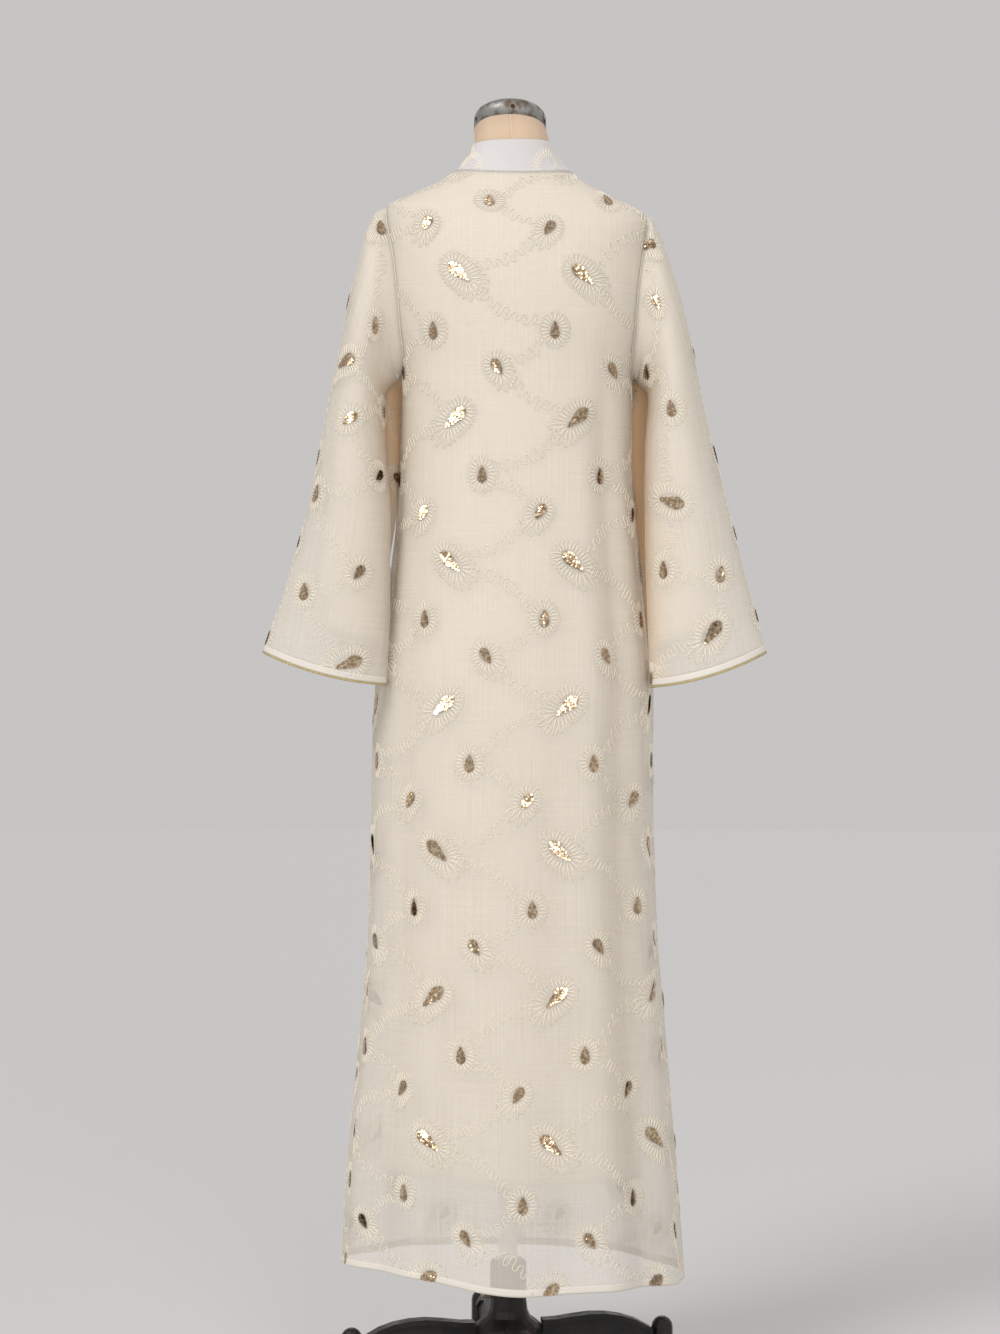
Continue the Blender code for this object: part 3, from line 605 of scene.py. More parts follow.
class Graph:
    """A material's node graph, built link by link."""

    def __init__(self, name: str) -> None:
        """Starts an empty graph."""
        self.material = bpy.data.materials.new(name)
        self.material.use_nodes = True
        self.tree = self.material.node_tree
        self.tree.nodes.clear()

    def add(self, kind: str, inputs: dict | None = None, **settings: object) -> bpy.types.Node:
        """Adds a node.

        Args:
            kind: the node's type, without its first word ShaderNode.
            inputs: each named or numbered socket's value, or the socket that feeds it.
            settings: the node's own properties.

        Returns:
            The new node.
        """
        node = self.tree.nodes.new("ShaderNode" + kind)
        for key, value in settings.items():
            setattr(node, key, value)
        for key, value in (inputs or {}).items():
            if isinstance(value, Socket):
                self.tree.links.new(value, node.inputs[key])
            elif node.inputs[key].type == "RGBA":
                node.inputs[key].default_value = (*value, 1.0)
            else:
                node.inputs[key].default_value = value
        return node

    def math(self, operation: str, a: object, b: object = 0.0, c: object = 0.0) -> Socket:
        """Adds one step of arithmetic and returns its result."""
        return self.add("Math", {0: a, 1: b, 2: c}, operation=operation).outputs[0]

    def cloth(self) -> Socket:
        """Returns the places along a cloth, in metres."""
        return self.add("UVMap", uv_map="Cloth").outputs["UV"]

    def solid(self) -> Socket:
        """Returns the places in the piece itself, in metres."""
        return self.add("TexCoord").outputs["Object"]

    def noise(self, place: Socket, scale: Sequence[float], detail: float) -> Socket:
        """Returns a soft noise over a place, with its own scale along each direction."""
        scaled = self.add("Mapping", {"Vector": place, "Scale": scale}).outputs[0]
        return self.add("TexNoise", {"Vector": scaled, "Scale": 1.0, "Detail": detail}).outputs[0]

    def ramp(self, value: object, low: float, high: float, start: float = 0.0, end: float = 1.0) -> Socket:
        """Returns a value moved from one range to another, and held to it."""
        inputs = {"Value": value, "From Min": low, "From Max": high, "To Min": start, "To Max": end}
        return self.add("MapRange", inputs, clamp=True).outputs[0]

    def blend(self, share: object, a: object, b: object) -> Socket:
        """Returns a colour between two colours."""
        return self.add("Mix", {0: share, 6: a, 7: b}, data_type="RGBA").outputs[2]

    def bump(self, height: Socket, distance: float, strength: float = 1.0) -> Socket:
        """Returns a normal tilted by a height, whose full step is a distance in metres."""
        inputs = {"Height": height, "Distance": distance, "Strength": strength}
        return self.add("Bump", inputs).outputs[0]

    def principled(self, colour: Socket, roughness: object, normal: Socket, more: dict) -> bpy.types.Node:
        """Adds the surface's shader, with whatever else is set on it by name."""
        inputs = {"Base Color": colour, "Roughness": roughness, "Normal": normal, **more}
        return self.add("BsdfPrincipled", inputs)

    def finish(self, shader: bpy.types.Node) -> Material:
        """Joins a shader to the output and returns the material."""
        self.add("OutputMaterial", {"Surface": shader.outputs[0]})
        return self.material


@dataclass(frozen=True)
class SheerFinish:
    """A sheer, finely striped woven cloth, which lets part of the light straight through."""

    colour: Colour = (0.85, 0.82, 0.755)
    stripe: Colour = (0.9, 0.875, 0.815)
    glow: Colour = (0.97, 0.8, 0.61)
    # Painted glow and shade under the arm: a tan standing in for light filtered through doubled cloth
    painted_glow_colour: Colour = (1.0, 0.84, 0.63)
    cover: float = 0.42
    cover_swing: float = 0.06
    # Extra cover and light let through where the painted glow and shade lie
    cover_painted_glow: float = 0.44
    through: float = 0.19
    through_painted_glow: float = 0.46
    roughness: float = 0.62
    painted_glow_on: bool = False

    def material(self, name: str) -> Material:
        """Builds the cloth: slubs along its length and across, a fine weave, and cover by the threads.

        With the painted glow on, the cloth is painted tan, made denser and lets more light through where its
        points' number for the painted glow is high: a painted glow and shade that stands in for light
        filtered through doubled cloth.
        """
        g = Graph(name)
        place = g.cloth()
        slubs = g.noise(place, (900.0, 7.0, 1.0), 3.0)
        cross = g.noise(place, (9.0, 700.0, 1.0), 3.0)
        weave = g.noise(place, (1500.0, 1500.0, 1.0), 1.0)
        lines = g.math("MULTIPLY_ADD", slubs, 0.62, g.math("MULTIPLY", cross, 0.38))
        lines = g.ramp(lines, 0.4, 0.62)
        colour = g.blend(lines, self.colour, self.stripe)
        if self.painted_glow_on:
            painted_glow = g.add("Attribute", attribute_name="painted_glow").outputs["Fac"]
            # Painted glow and shade: the tan is mixed in by each point's painted glow number
            colour = g.blend(painted_glow, colour, self.painted_glow_colour)
        height = g.math("ADD", lines, g.math("MULTIPLY", weave, 0.5))
        normal = g.bump(height, 0.00025, 0.6)
        more = {"Sheen Weight": 0.25, "Sheen Roughness": 0.4, "Specular IOR Level": 0.35}
        body = g.principled(colour, self.roughness, normal, more)
        back = g.add("BsdfTranslucent", {"Color": self.glow, "Normal": normal})
        through = self.through
        if self.painted_glow_on:
            through = g.math("MULTIPLY_ADD", painted_glow, self.through_painted_glow, self.through)
        cloth = g.add("MixShader", {0: through, 1: body.outputs[0], 2: back.outputs[0]})
        clear = g.add("BsdfTransparent")
        cover = g.math("MULTIPLY_ADD", lines, self.cover_swing, self.cover - self.cover_swing / 2)
        if self.painted_glow_on:
            cover = g.math("MULTIPLY_ADD", painted_glow, self.cover_painted_glow, cover)
        return g.finish(g.add("MixShader", {0: cover, 1: clear.outputs[0], 2: cloth.outputs[0]}))


@dataclass(frozen=True)
class ClothFinish:
    """A plain opaque woven cloth."""

    colour: Colour
    shade: Colour
    threads: float = 1400.0
    relief: float = 0.00015
    roughness: float = 0.7
    sheen: float = 0.2

    def material(self, name: str) -> Material:
        """Builds the cloth: a fine even weave, and a faint cloudiness."""
        g = Graph(name)
        place = g.cloth()
        weave = g.noise(place, (self.threads, self.threads, 1.0), 2.0)
        clouds = g.noise(place, (14.0, 9.0, 1.0), 3.0)
        both = g.math("MULTIPLY_ADD", weave, 0.5, g.math("MULTIPLY", clouds, 0.5))
        share = g.ramp(both, 0.35, 0.65)
        colour = g.blend(share, self.shade, self.colour)
        sheen = {"Sheen Weight": self.sheen, "Sheen Roughness": 0.5}
        return g.finish(g.principled(colour, self.roughness, g.bump(weave, self.relief), sheen))


@dataclass(frozen=True)
class ThreadFinish:
    """A soft embroidery thread, in which fine twisted plies show."""

    colour: Colour
    shade: Colour
    relief: float = 0.0002
    roughness: float = 0.55
    sheen: float = 0.35

    def material(self, name: str) -> Material:
        """Builds the thread: a fine grain that darkens and dents it."""
        g = Graph(name)
        place = g.solid()
        grain = g.noise(place, (1600.0, 1600.0, 1600.0), 1.0)
        colour = g.blend(g.ramp(grain, 0.35, 0.65), self.shade, self.colour)
        sheen = {"Sheen Weight": self.sheen, "Sheen Roughness": 0.4}
        return g.finish(g.principled(colour, self.roughness, g.bump(grain, self.relief), sheen))


@dataclass(frozen=True)
class MetalFinish:
    """A metal or painted metal with a mottled surface."""

    colour: Colour
    stain: Colour
    metallic: float
    roughness: tuple[float, float]
    grain: float = 90.0
    relief: float = 0.0004

    def material(self, name: str) -> Material:
        """Builds the metal: stains and pits by noise, which change its colour, gloss and relief."""
        g = Graph(name)
        place = g.solid()
        clouds = g.noise(place, (self.grain,) * 3, 5.0)
        pits = g.noise(place, (self.grain * 7,) * 3, 2.0)
        colour = g.blend(g.ramp(clouds, 0.42, 0.62), self.colour, self.stain)
        gloss = g.ramp(clouds, 0.35, 0.65, self.roughness[0], self.roughness[1])
        normal = g.bump(pits, self.relief)
        return g.finish(g.principled(colour, gloss, normal, {"Metallic": self.metallic}))


@dataclass(frozen=True)
class SequinFinish:
    """Thin bronze sequins, which differ a little in tone from one place to the next."""

    colour: Colour = (0.42, 0.29, 0.17)
    light: Colour = (0.72, 0.58, 0.41)
    roughness: float = 0.22

    def material(self, name: str) -> Material:
        """Builds the sequins: clear lacquer over metal, in two tones by noise."""
        g = Graph(name)
        place = g.solid()
        tone = g.noise(place, (260.0, 260.0, 260.0), 1.0)
        colour = g.blend(g.ramp(tone, 0.45, 0.6), self.colour, self.light)
        lacquer = {"Coat Weight": 0.6, "Coat Roughness": 0.08}
        metal = {"Base Color": colour, "Metallic": 1.0, "Roughness": self.roughness, **lacquer}
        return g.finish(g.add("BsdfPrincipled", metal))


class Finishes:
    """Every material of the scene, made once."""

    def __init__(self) -> None:
        """Builds all materials."""
        self.sheer = SheerFinish().material("sheer_cloth")
        # Sleeve cloth that carries the painted glow and shade under the arm
        self.painted_glow_sheer = SheerFinish(painted_glow_on=True).material("sleeve_sheer_painted_glow")
        self.sequins = SequinFinish().material("bronze_sequins")
        floor = Graph("pale_floor")
        shade = {"Base Color": (0.631, 0.624, 0.62), "Roughness": 0.9}
        self.floor = floor.finish(floor.add("BsdfPrincipled", shade))
        linen = ClothFinish((0.74, 0.56, 0.4), (0.62, 0.45, 0.3), 900.0, 0.0004, 0.85, 0.1)
        bed = MetalFinish((0.4, 0.26, 0.14), (0.22, 0.14, 0.07), 0.9, (0.35, 0.5), 500.0)
        gold = MetalFinish((0.66, 0.55, 0.27), (0.45, 0.35, 0.14), 0.35, (0.35, 0.55), 700.0)
        cap = MetalFinish((0.33, 0.33, 0.32), (0.17, 0.125, 0.09), 0.7, (0.4, 0.65), 75.0)
        finishes = {
            "lining": ("lining_cloth", ClothFinish((0.92, 0.86, 0.755), (0.88, 0.81, 0.7), sheen=0.3)),
            "white": ("white_cloth", ClothFinish((0.7, 0.675, 0.665), (0.61, 0.585, 0.575))),
            "turned": ("turned_cloth", ClothFinish((0.775, 0.73, 0.655), (0.71, 0.66, 0.585))),
            "linen": ("form_linen", linen),
            "thread": ("cream_thread", ThreadFinish((0.95, 0.87, 0.73), (0.86, 0.77, 0.62))),
            "sewing": ("sewing_thread", ThreadFinish((0.86, 0.79, 0.68), (0.74, 0.67, 0.56))),
            "bed": ("sequin_bed", bed),
            "gold": ("gold_cord", gold),
            "cap": ("cap_metal", cap),
            "tack": ("dark_tacks", MetalFinish((0.03, 0.028, 0.026), (0.08, 0.05, 0.03), 0.7, (0.35, 0.6))),
            "iron": ("cast_iron", MetalFinish((0.012,) * 3, (0.028, 0.021, 0.018), 0.4, (0.34, 0.58), 40.0)),
            "steel": ("pole_steel", MetalFinish((0.74, 0.72, 0.69), (0.62, 0.6, 0.57), 0.8, (0.22, 0.4))),
            "clamp": ("clamp_metal", MetalFinish((0.42, 0.38, 0.31), (0.25, 0.19, 0.13), 0.5, (0.4, 0.65))),
        }
        for use, (name, finish) in finishes.items():
            setattr(self, use, finish.material(name))


class Part(Enum):
    """The panels of the garment's body."""

    BACK = ("back", SIDE_LEFT - 2 * math.pi, SIDE_RIGHT, BACK)
    FRONT_RIGHT = ("front_right", SIDE_RIGHT, FRONT, FRONT)
    FRONT_LEFT = ("front_left", FRONT, SIDE_LEFT, FRONT)

    def __init__(self, label: str, start: float, end: float, centre: float) -> None:
        """Keeps the panel's name, its first and last angle, and the angle of its grain line."""
        self.label = label
        self.start = start
        self.end = end
        self.centre = centre

    @property
    def surface(self) -> type[BodySurface]:
        """Returns the surface that the panel lies on."""
        return LappedSurface if self is Part.FRONT_RIGHT else BodySurface


class Grid(NamedTuple):
    """The rows of a panel below, at and above the armhole, and the columns of the back."""

    skirt: int
    armhole: int
    shoulder: int
    back: int

    def heights(self, bottom: float) -> Array:
        """Gives the heights of a panel's rows, closer together at both ends of the armhole."""
        low = np.linspace(bottom, UNDERARM_HEIGHT, self.skirt + 1)[:-1]
        turn = np.pi * np.arange(self.armhole + 1) / self.armhole
        middle = ARMHOLE_MIDDLE - ARMHOLE_HALF * np.cos(turn)
        high = np.linspace(SHOULDER_TIP_HEIGHT, NECKLINE_HEIGHT, self.shoulder + 1)[1:]
        return np.concatenate([low, middle, high])

    def angles(self, part: Part, heights: Array, lap: Array | float = 0.0) -> Array:
        """Gives the angles of a panel's points, from its start edge to its end edge.

        An edge at a side seam makes room for the armhole. Lap is an angle by which an edge at the
        centre front goes on past the middle.
        """
        cut = armhole_angle(heights)
        first = part.start + SEAM_ANGLE + np.where(part.start == FRONT, -lap, cut)
        last = part.end - SEAM_ANGLE + np.where(part.end == FRONT, lap, -cut)
        columns = self.back if part is Part.BACK else self.back // 2
        return first[:, None] + (last - first)[:, None] * np.linspace(0, 1, columns + 1)


@dataclass(frozen=True)
class Dress:
    """What a piece is dressed with: a slot name, its node and its material."""

    slot: str
    material: Material
    node: str | None = None

    def on(self, piece: Piece) -> Piece:
        """Gives the piece its material, hangs it from the root, hides the solid of its node, and returns it.
        """
        piece.data.materials.append(self.material)
        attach(piece, "root")
        if self.node:
            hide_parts(self.node)
        log.info("%s: %d faces", piece.name, len(piece.data.polygons))
        return piece


class Held(Enum):
    """How a cloth is held."""

    HUNG = "hung"
    DRAPED = "draped"


@dataclass
class Cut:
    """One cloth with the size that it was cut to, what holds it, and the pieces sewn to it."""

    piece: Piece
    flat: tuple[float, float]
    area: float
    held: Held
    rests_on: tuple[str, ...]
    sewn: list[Piece] = field(default_factory=list)


class Cuts:
    """Every cloth of the garment by name, whose cuts are logged at the end."""

    def __init__(self) -> None:
        """Starts with no cloth."""
        self.cuts: dict[str, Cut] = {}

    def add(self, name: str, piece: Piece, outer: Array, closed: bool = False, held: Held = Held.HUNG,
            rests_on: tuple[str, ...] = ("form_torso_linen",)) -> None:
        """Measures a cloth along its outer face.

        Its width is its longest row, its length its longest column, and its area the sum over the
        grid's cells of half the product of their crossed diagonals.

        Args:
            name: the cloth's name.
            piece: its object.
            outer: its outer face's points, by row and column.
            closed: whether it is a tube around its rows.
            held: how it is held.
            rests_on: the pieces that it hangs from or lies on.
        """
        if closed:
            outer = np.concatenate([outer, outer[:, :1]], axis=1)
        width = np.linalg.norm(np.diff(outer, axis=1), axis=-1).sum(axis=1).max()
        length = np.linalg.norm(np.diff(outer, axis=0), axis=-1).sum(axis=0).max()
        falling, rising = outer[1:, 1:] - outer[:-1, :-1], outer[1:, :-1] - outer[:-1, 1:]
        area = np.linalg.norm(np.cross(falling, rising), axis=-1).sum() / 2
        self.cuts[name] = Cut(piece, (float(width), float(length)), float(area), held, rests_on)

    def sew(self, name: str, piece: Piece, material: Material, slot: str = "sheer_shell",
            node: str | None = None) -> None:
        """Dresses a piece and notes that it is sewn to a cloth."""
        self.cuts[name].sewn.append(Dress(slot, material, node).on(piece))

    def declare(self) -> None:
        """Logs every cloth with its cut."""
        for name, cut in self.cuts.items():
            log.info("%s: cut %.3f by %.3f m, %.3f square metres", name, *cut.flat, cut.area)


@dataclass(frozen=True)
class Shell:
    """The sheer outer cloth of the garment's body: one back and two fronts, open at the centre."""

    finishes: Finishes
    cuts: Cuts
    grid: Grid = Grid(120, 44, 20, 116)
    band_height: float = 0.0095
    band_wall: float = 0.0011
    band_stand: float = 0.0002

    def angles(self, part: Part, heights: Array) -> Array:
        """Gives a panel's grid of angles. Both fronts go on past the middle by the lap."""
        along, _ = BodySurface.slopes(heights, FRONT)
        lap = FRONT_OVERLAP / np.linalg.norm(along, axis=-1)
        return self.grid.angles(part, heights, lap)

    def build_panel(self, part: Part) -> None:
        """Builds one panel as a thin wall on the surface."""
        heights = self.grid.heights(HEM_HEIGHT)
        angles = self.angles(part, heights)
        normals = BodySurface.normal(heights[:, None], angles)
        outer = part.surface.point(heights[:, None], angles)
        zero = int(np.argmin(np.abs(angles[0] - part.centre)))
        piece = put_wall(f"{part.label}_sheer", outer, outer - normals * SHELL_WALL, zero)
        Dress("sheer_shell", self.finishes.sheer, part.label).on(piece)
        self.cuts.add(part.label, piece, outer)

    def build_band(self, part: Part) -> None:
        """Builds the turned hem: a thicker strip that wraps the panel's lower edge."""
        heights = np.linspace(HEM_HEIGHT, HEM_HEIGHT + self.band_height, 5)
        angles = self.angles(part, heights)
        normals = BodySurface.normal(heights[:, None], angles)
        outer = part.surface.point(heights[:, None], angles) + normals * self.band_stand
        outer[0] -= (outer[1] - outer[0]) * 0.15
        piece = put_wall(f"{part.label}_hem_band", outer, outer - normals * self.band_wall, 0)
        self.cuts.sew(part.label, piece, self.finishes.turned)

    def build(self) -> None:
        """Builds the three panels with their turned hems."""
        for part in Part:
            self.build_panel(part)
            self.build_band(part)


@dataclass(frozen=True)
class Lining:
    """The opaque lining of the garment's body, narrower than the shell low down."""

    finishes: Finishes
    cuts: Cuts
    grid: Grid = Grid(70, 24, 10, 64)

    def build(self) -> None:
        """Builds the lining's back and its two fronts, which meet at the centre."""
        heights = self.grid.heights(LINING_HEM_HEIGHT)
        inset = column(LINING_SLACK, "height", "inset", heights)[:, None]
        high, low = LINING_FOLDED
        folded = ease((heights[:, None] - low) / (high - low))
        for part in Part:
            angles = self.grid.angles(part, heights)
            normals = BodySurface.normal(heights[:, None], angles, folded)
            outer = BodySurface.point(heights[:, None], angles, folded) - normals * inset[..., None]
            node = f"lining_{part.label}"
            piece = put_wall(f"{node}_cloth", outer, outer - normals * LINING_WALL, 0)
            Dress("lining", self.finishes.lining, node).on(piece)
            self.cuts.add(node, piece, outer)


@dataclass(frozen=True)
class Sleeve:
    """A flared sheer sleeve with its turned cuff, its gold piping and its narrower lining."""

    finishes: Finishes
    cuts: Cuts
    label: str
    side: int
    table: Sequence[SleeveRow]
    tuck: Sequence[float]
    # Painted glow and shade under the arm, row by row
    painted_glow: Sequence[float]
    rows: int = 84
    columns: int = 96
    lining_rows: int = 40
    lining_columns: int = 56
    cuff_height: float = 0.0085
    cuff_wall: float = 0.0011
    cuff_stand: float = 0.0002
    twists: int = 150
    cord_sides: int = 9
    bulge: float = 0.16

    @property
    def surface(self) -> SleeveSurface:
        """Returns the sleeve's surface."""
        return SleeveSurface(self.side, self.table, self.tuck)

    @property
    def hung_from(self) -> tuple[str, ...]:
        """Returns the panels that the sleeve is sewn to."""
        return ("back_sheer", f"front_{self.label}_sheer")

    def build_shell(self) -> None:
        """Builds the sleeve as a thin tube, whose rows are closer together at the armhole."""
        surface = self.surface
        rows = np.concatenate([np.linspace(0, 2, 21)[:-1], np.linspace(2, surface.last, self.rows - 20)])
        grid, turns = rows[:, None], even_turns(self.columns)
        outer, normals = surface.point(grid, turns), surface.normal(grid, turns)
        node = f"sleeve_{self.label}"
        piece = put_wall(f"{node}_sheer", outer, outer - normals * SHELL_WALL, self.columns // 4, True)
        # Each point's painted glow and shade under the arm, which the sleeve's material reads
        put_number(piece, "painted_glow", np.tile(surface.painted_glow(self.painted_glow, grid, turns), (2, 1)))
        Dress("sheer_shell", self.finishes.painted_glow_sheer, node).on(piece)
        self.cuts.add(node, piece, outer, True, Held.HUNG, self.hung_from)

    def build_cuff(self) -> None:
        """Builds the turned cuff: a thicker ring that wraps the sleeve's lower edge."""
        surface = self.surface
        turns = even_turns(self.columns * 2)[None, :] + np.zeros((5, 1))
        edge = np.full_like(turns, surface.last)
        _, down = surface.slopes(edge, turns)
        back = np.linspace(self.cuff_height, -0.0004, 5)[:, None]
        rows = edge - back / np.linalg.norm(down, axis=-1)
        rows[-1] = surface.last
        outer = surface.point(rows, turns) + surface.normal(rows, turns) * self.cuff_stand
        outer[-1] += unit(down[-1]) * self.cuff_stand
        inner = outer - surface.normal(rows, turns) * self.cuff_wall
        piece = put_wall(f"sleeve_{self.label}_cuff_band", outer, inner, 0, True)
        self.cuts.sew(f"sleeve_{self.label}", piece, self.finishes.turned)

    def build_piping(self) -> None:
        """Builds the gold edge: a cord along the cuff, whose three strands twist around it.

        The cord's section is a circle with three bulges, which turns as it goes along.
        """
        surface = self.surface
        along = even_turns(self.twists * 6)
        section = even_turns(self.cord_sides)
        edge = np.full_like(along, surface.last)
        point, normal = surface.point(edge, along), surface.normal(edge, along)
        _, down = surface.slopes(edge, along)
        down = unit(down)
        middle = point - normal * SOLID_WALL / 2 + down * (SEAM_GAP + PIPING_WIDTH / 2)
        swing = np.cos(3 * section[None, :] - self.twists * along[:, None])
        radius = PIPING_WIDTH / 2 * (1 + self.bulge * swing)
        c, s = np.cos(section)[:, None], np.sin(section)[:, None]
        points = middle[:, None] + (c * normal[:, None] + s * down[:, None]) * radius[..., None]
        count = len(section)
        rings = grid_faces(len(along) + 1, count, True) % (len(along) * count)
        points = points.reshape(-1, 3)
        if not look_out(points, rings, points[rings[:, 0]] - middle.repeat(count, axis=0)):
            rings = rings[:, ::-1]
        piece = put_mesh(f"cuff_cord_{self.label}", points, [rings])
        node = f"cuff_piping_{self.label}"
        self.cuts.sew(f"sleeve_{self.label}", piece, self.finishes.gold, "gold_piping", node)

    def lining_rings(self) -> Array:
        """Gives the lining's rings: each is the sleeve's ring moved in, then drawn to its underside."""
        surface = SleeveSurface(self.side, self.table, (0.0,) * len(self.tuck))
        turns = even_turns(self.lining_columns)
        levels = np.arange(0, surface.last + 1)[:, None]
        points, normals = surface.point(levels, turns), surface.normal(levels, turns)
        inset = np.array([SLEEVE_LINING_START] + [SOLID_WALL + row.inset for row in SLEEVE_LINING])
        share = np.array([1.0] + [row.share for row in SLEEVE_LINING])
        rings = points - normals * inset[:, None, None]
        under = rings[:, self.lining_columns // 2][:, None]
        rings = under + (rings - under) * share[:, None, None]
        rings[-1] = rings[-2] + (rings[-1] - rings[-2]) * SLEEVE_LINING_END
        return rings

    def build_lining(self) -> None:
        """Builds the lining as a smooth tube through its rings."""
        rings = self.lining_rings()
        keys = np.arange(len(rings), dtype=float)
        at = np.linspace(0, keys[-1], self.lining_rows + 1)
        step = np.clip(at.astype(int), 0, len(rings) - 2)
        share = (at - step)[:, None, None]
        outer = rings[step] * (1 - share) + rings[step + 1] * share
        around = np.roll(outer, -1, axis=1) - np.roll(outer, 1, axis=1)
        normals = unit(np.cross(around, np.gradient(outer, axis=0))) * self.side
        node = f"sleeve_lining_{self.label}"
        inner = outer - normals * LINING_WALL
        piece = put_wall(f"{node}_cloth", outer, inner, self.lining_columns // 4, True)
        Dress("lining", self.finishes.lining, node).on(piece)
        self.cuts.add(node, piece, outer, True, Held.HUNG, self.hung_from)

    def build(self) -> None:
        """Builds the sleeve with its cuff, piping and lining."""
        self.build_shell()
        self.build_lining()
        self.build_cuff()
        self.build_piping()


class Ridges:
    """Raised lines on cloth, gathered and built as one mesh.

    A line's section is a low triangle: two corners sunk into the cloth and one on top.
    """

    def __init__(self, width: float, height: float, sunk: float) -> None:
        """Starts with no lines.

        Args:
            width: the lines' width.
            height: how far their tops stand out of the cloth.
            sunk: how far their two lower corners are sunk in.
        """
        self.width = width
        self.height = height
        self.sunk = sunk
        self.points: list[Array] = []
        self.quads: list[Array] = []
        self.ends: list[Array] = []
        self.count = 0

    def add(self, middle: Array, normal: Array, closed: bool, inside: Array | None = None) -> None:
        """Adds lines on a surface.

        A span is kept where both its ends are inside, and is closed with a triangle where it stops.

        Args:
            middle: the lines' points, by line and point.
            normal: the directions out of the surface.
            closed: whether each line ends where it starts.
            inside: which points are on the cloth, or all of them.
        """
        if inside is None:
            inside = np.ones(middle.shape[:2], bool)
        kept = inside & np.roll(inside, -1, axis=1)
        if closed:
            step = np.roll(middle, -1, axis=1) - np.roll(middle, 1, axis=1)
        else:
            step = np.gradient(middle, axis=1)
            kept[:, -1] = False
        before = np.roll(kept, 1, axis=1)
        side = unit(np.cross(step, normal)) * self.width / 2
        foot = middle - normal * self.sunk
        corners = np.stack([foot + side, middle + normal * self.height, foot - side], 2)
        count, length = middle.shape[:2]
        first = self.count + 3 * np.arange(count * length).reshape(count, length)
        following = np.roll(first, -1, axis=1)
        a, b = first[kept][:, None], following[kept][:, None]
        k, m = np.array([0, 1, 2]), np.array([1, 2, 0])
        self.points.append(corners.reshape(-1, 3))
        self.quads.append(np.stack([a + k, b + k, b + m, a + m], -1).reshape(-1, 4))
        self.ends += [first[before & ~kept][:, None] + k[::-1], first[kept & ~before][:, None] + k]
        self.count += count * length * 3

    def build(self, name: str) -> Piece:
        """Builds one mesh from all kept spans, without the unused points."""
        quads, ends = np.concatenate(self.quads), np.concatenate(self.ends)
        used, numbers = np.unique(np.concatenate([quads.ravel(), ends.ravel()]), return_inverse=True)
        points = np.concatenate(self.points)[used]
        quads, ends = numbers[: quads.size].reshape(-1, 4), numbers[quads.size:].reshape(-1, 3)
        return put_mesh(name, points, [quads, ends])


@dataclass(frozen=True)
class Seams:
    """The pressed seams of the sheer cloth, which stand out a little, and the rows of stitches."""

    finishes: Finishes
    cuts: Cuts
    width: float = 0.0022
    height: float = 0.0005
    sunk: float = 0.0003
    points: int = 300
    facing: float = 0.016
    stitch_width: float = 0.0008

    def line(self, ridges: Ridges, heights: Array, angle: float) -> None:
        """Adds a line up the body at one angle."""
        angles = np.full_like(heights, angle)
        ridges.add(BodySurface.point(heights, angles)[None], BodySurface.normal(heights, angles)[None], False)

    def build_body(self) -> None:
        """Builds the side and shoulder seams."""
        ridges = Ridges(self.width, self.height, self.sunk)
        for angle in (SIDE_RIGHT, SIDE_LEFT):
            skirt = np.linspace(HEM_HEIGHT + Shell.band_height, UNDERARM_HEIGHT, self.points)
            self.line(ridges, skirt, angle)
            self.line(ridges, np.linspace(SHOULDER_TIP_HEIGHT, NECKLINE_HEIGHT, 40), angle)
        self.cuts.sew(Part.BACK.label, ridges.build("body_seams"), self.finishes.turned)

    def build_sleeve(self, sleeve: Sleeve) -> None:
        """Builds a sleeve's armhole seam and the seam under its arm."""
        ridges = Ridges(self.width, self.height, self.sunk)
        surface = sleeve.surface
        turn = even_turns(self.points)
        edge = surface.armhole(turn)
        normal = surface.normal(np.full_like(turn, 0.2), turn)
        ridges.add(edge[None], normal[None], True)
        rows = np.linspace(0.05, surface.last - 0.08, self.points)
        under = np.full_like(rows, np.pi)
        ridges.add(surface.point(rows, under)[None], surface.normal(rows, under)[None], False)
        node = f"sleeve_{sleeve.label}"
        self.cuts.sew(node, ridges.build(f"{node}_seams"), self.finishes.turned)

    def build_fronts(self) -> None:
        """Builds the stitched edge of both fronts: a line of stitches beside each centre edge."""
        heights = np.linspace(HEM_HEIGHT + Shell.band_height, NECKLINE_HEIGHT - 0.002, 4 * self.points)
        along, _ = BodySurface.slopes(heights, FRONT)
        away = self.facing / np.linalg.norm(along, axis=-1)
        for part, way in ((Part.FRONT_RIGHT, 1), (Part.FRONT_LEFT, -1)):
            ridges = Ridges(self.stitch_width, self.height, self.sunk)
            angles = FRONT - way * away
            lift = OVERLAP_LIFT if way > 0 else 0.0
            normal = BodySurface.normal(heights, angles)
            stitched = (np.arange(len(heights)) % 4 != 3)[None]
            line = BodySurface.point(heights, angles) + normal * lift
            ridges.add(line[None], normal[None], False, stitched)
            piece = ridges.build(f"{part.label}_edge_stitches")
            self.cuts.sew(part.label, piece, self.finishes.sewing)


Surface = type[BodySurface] | SleeveSurface


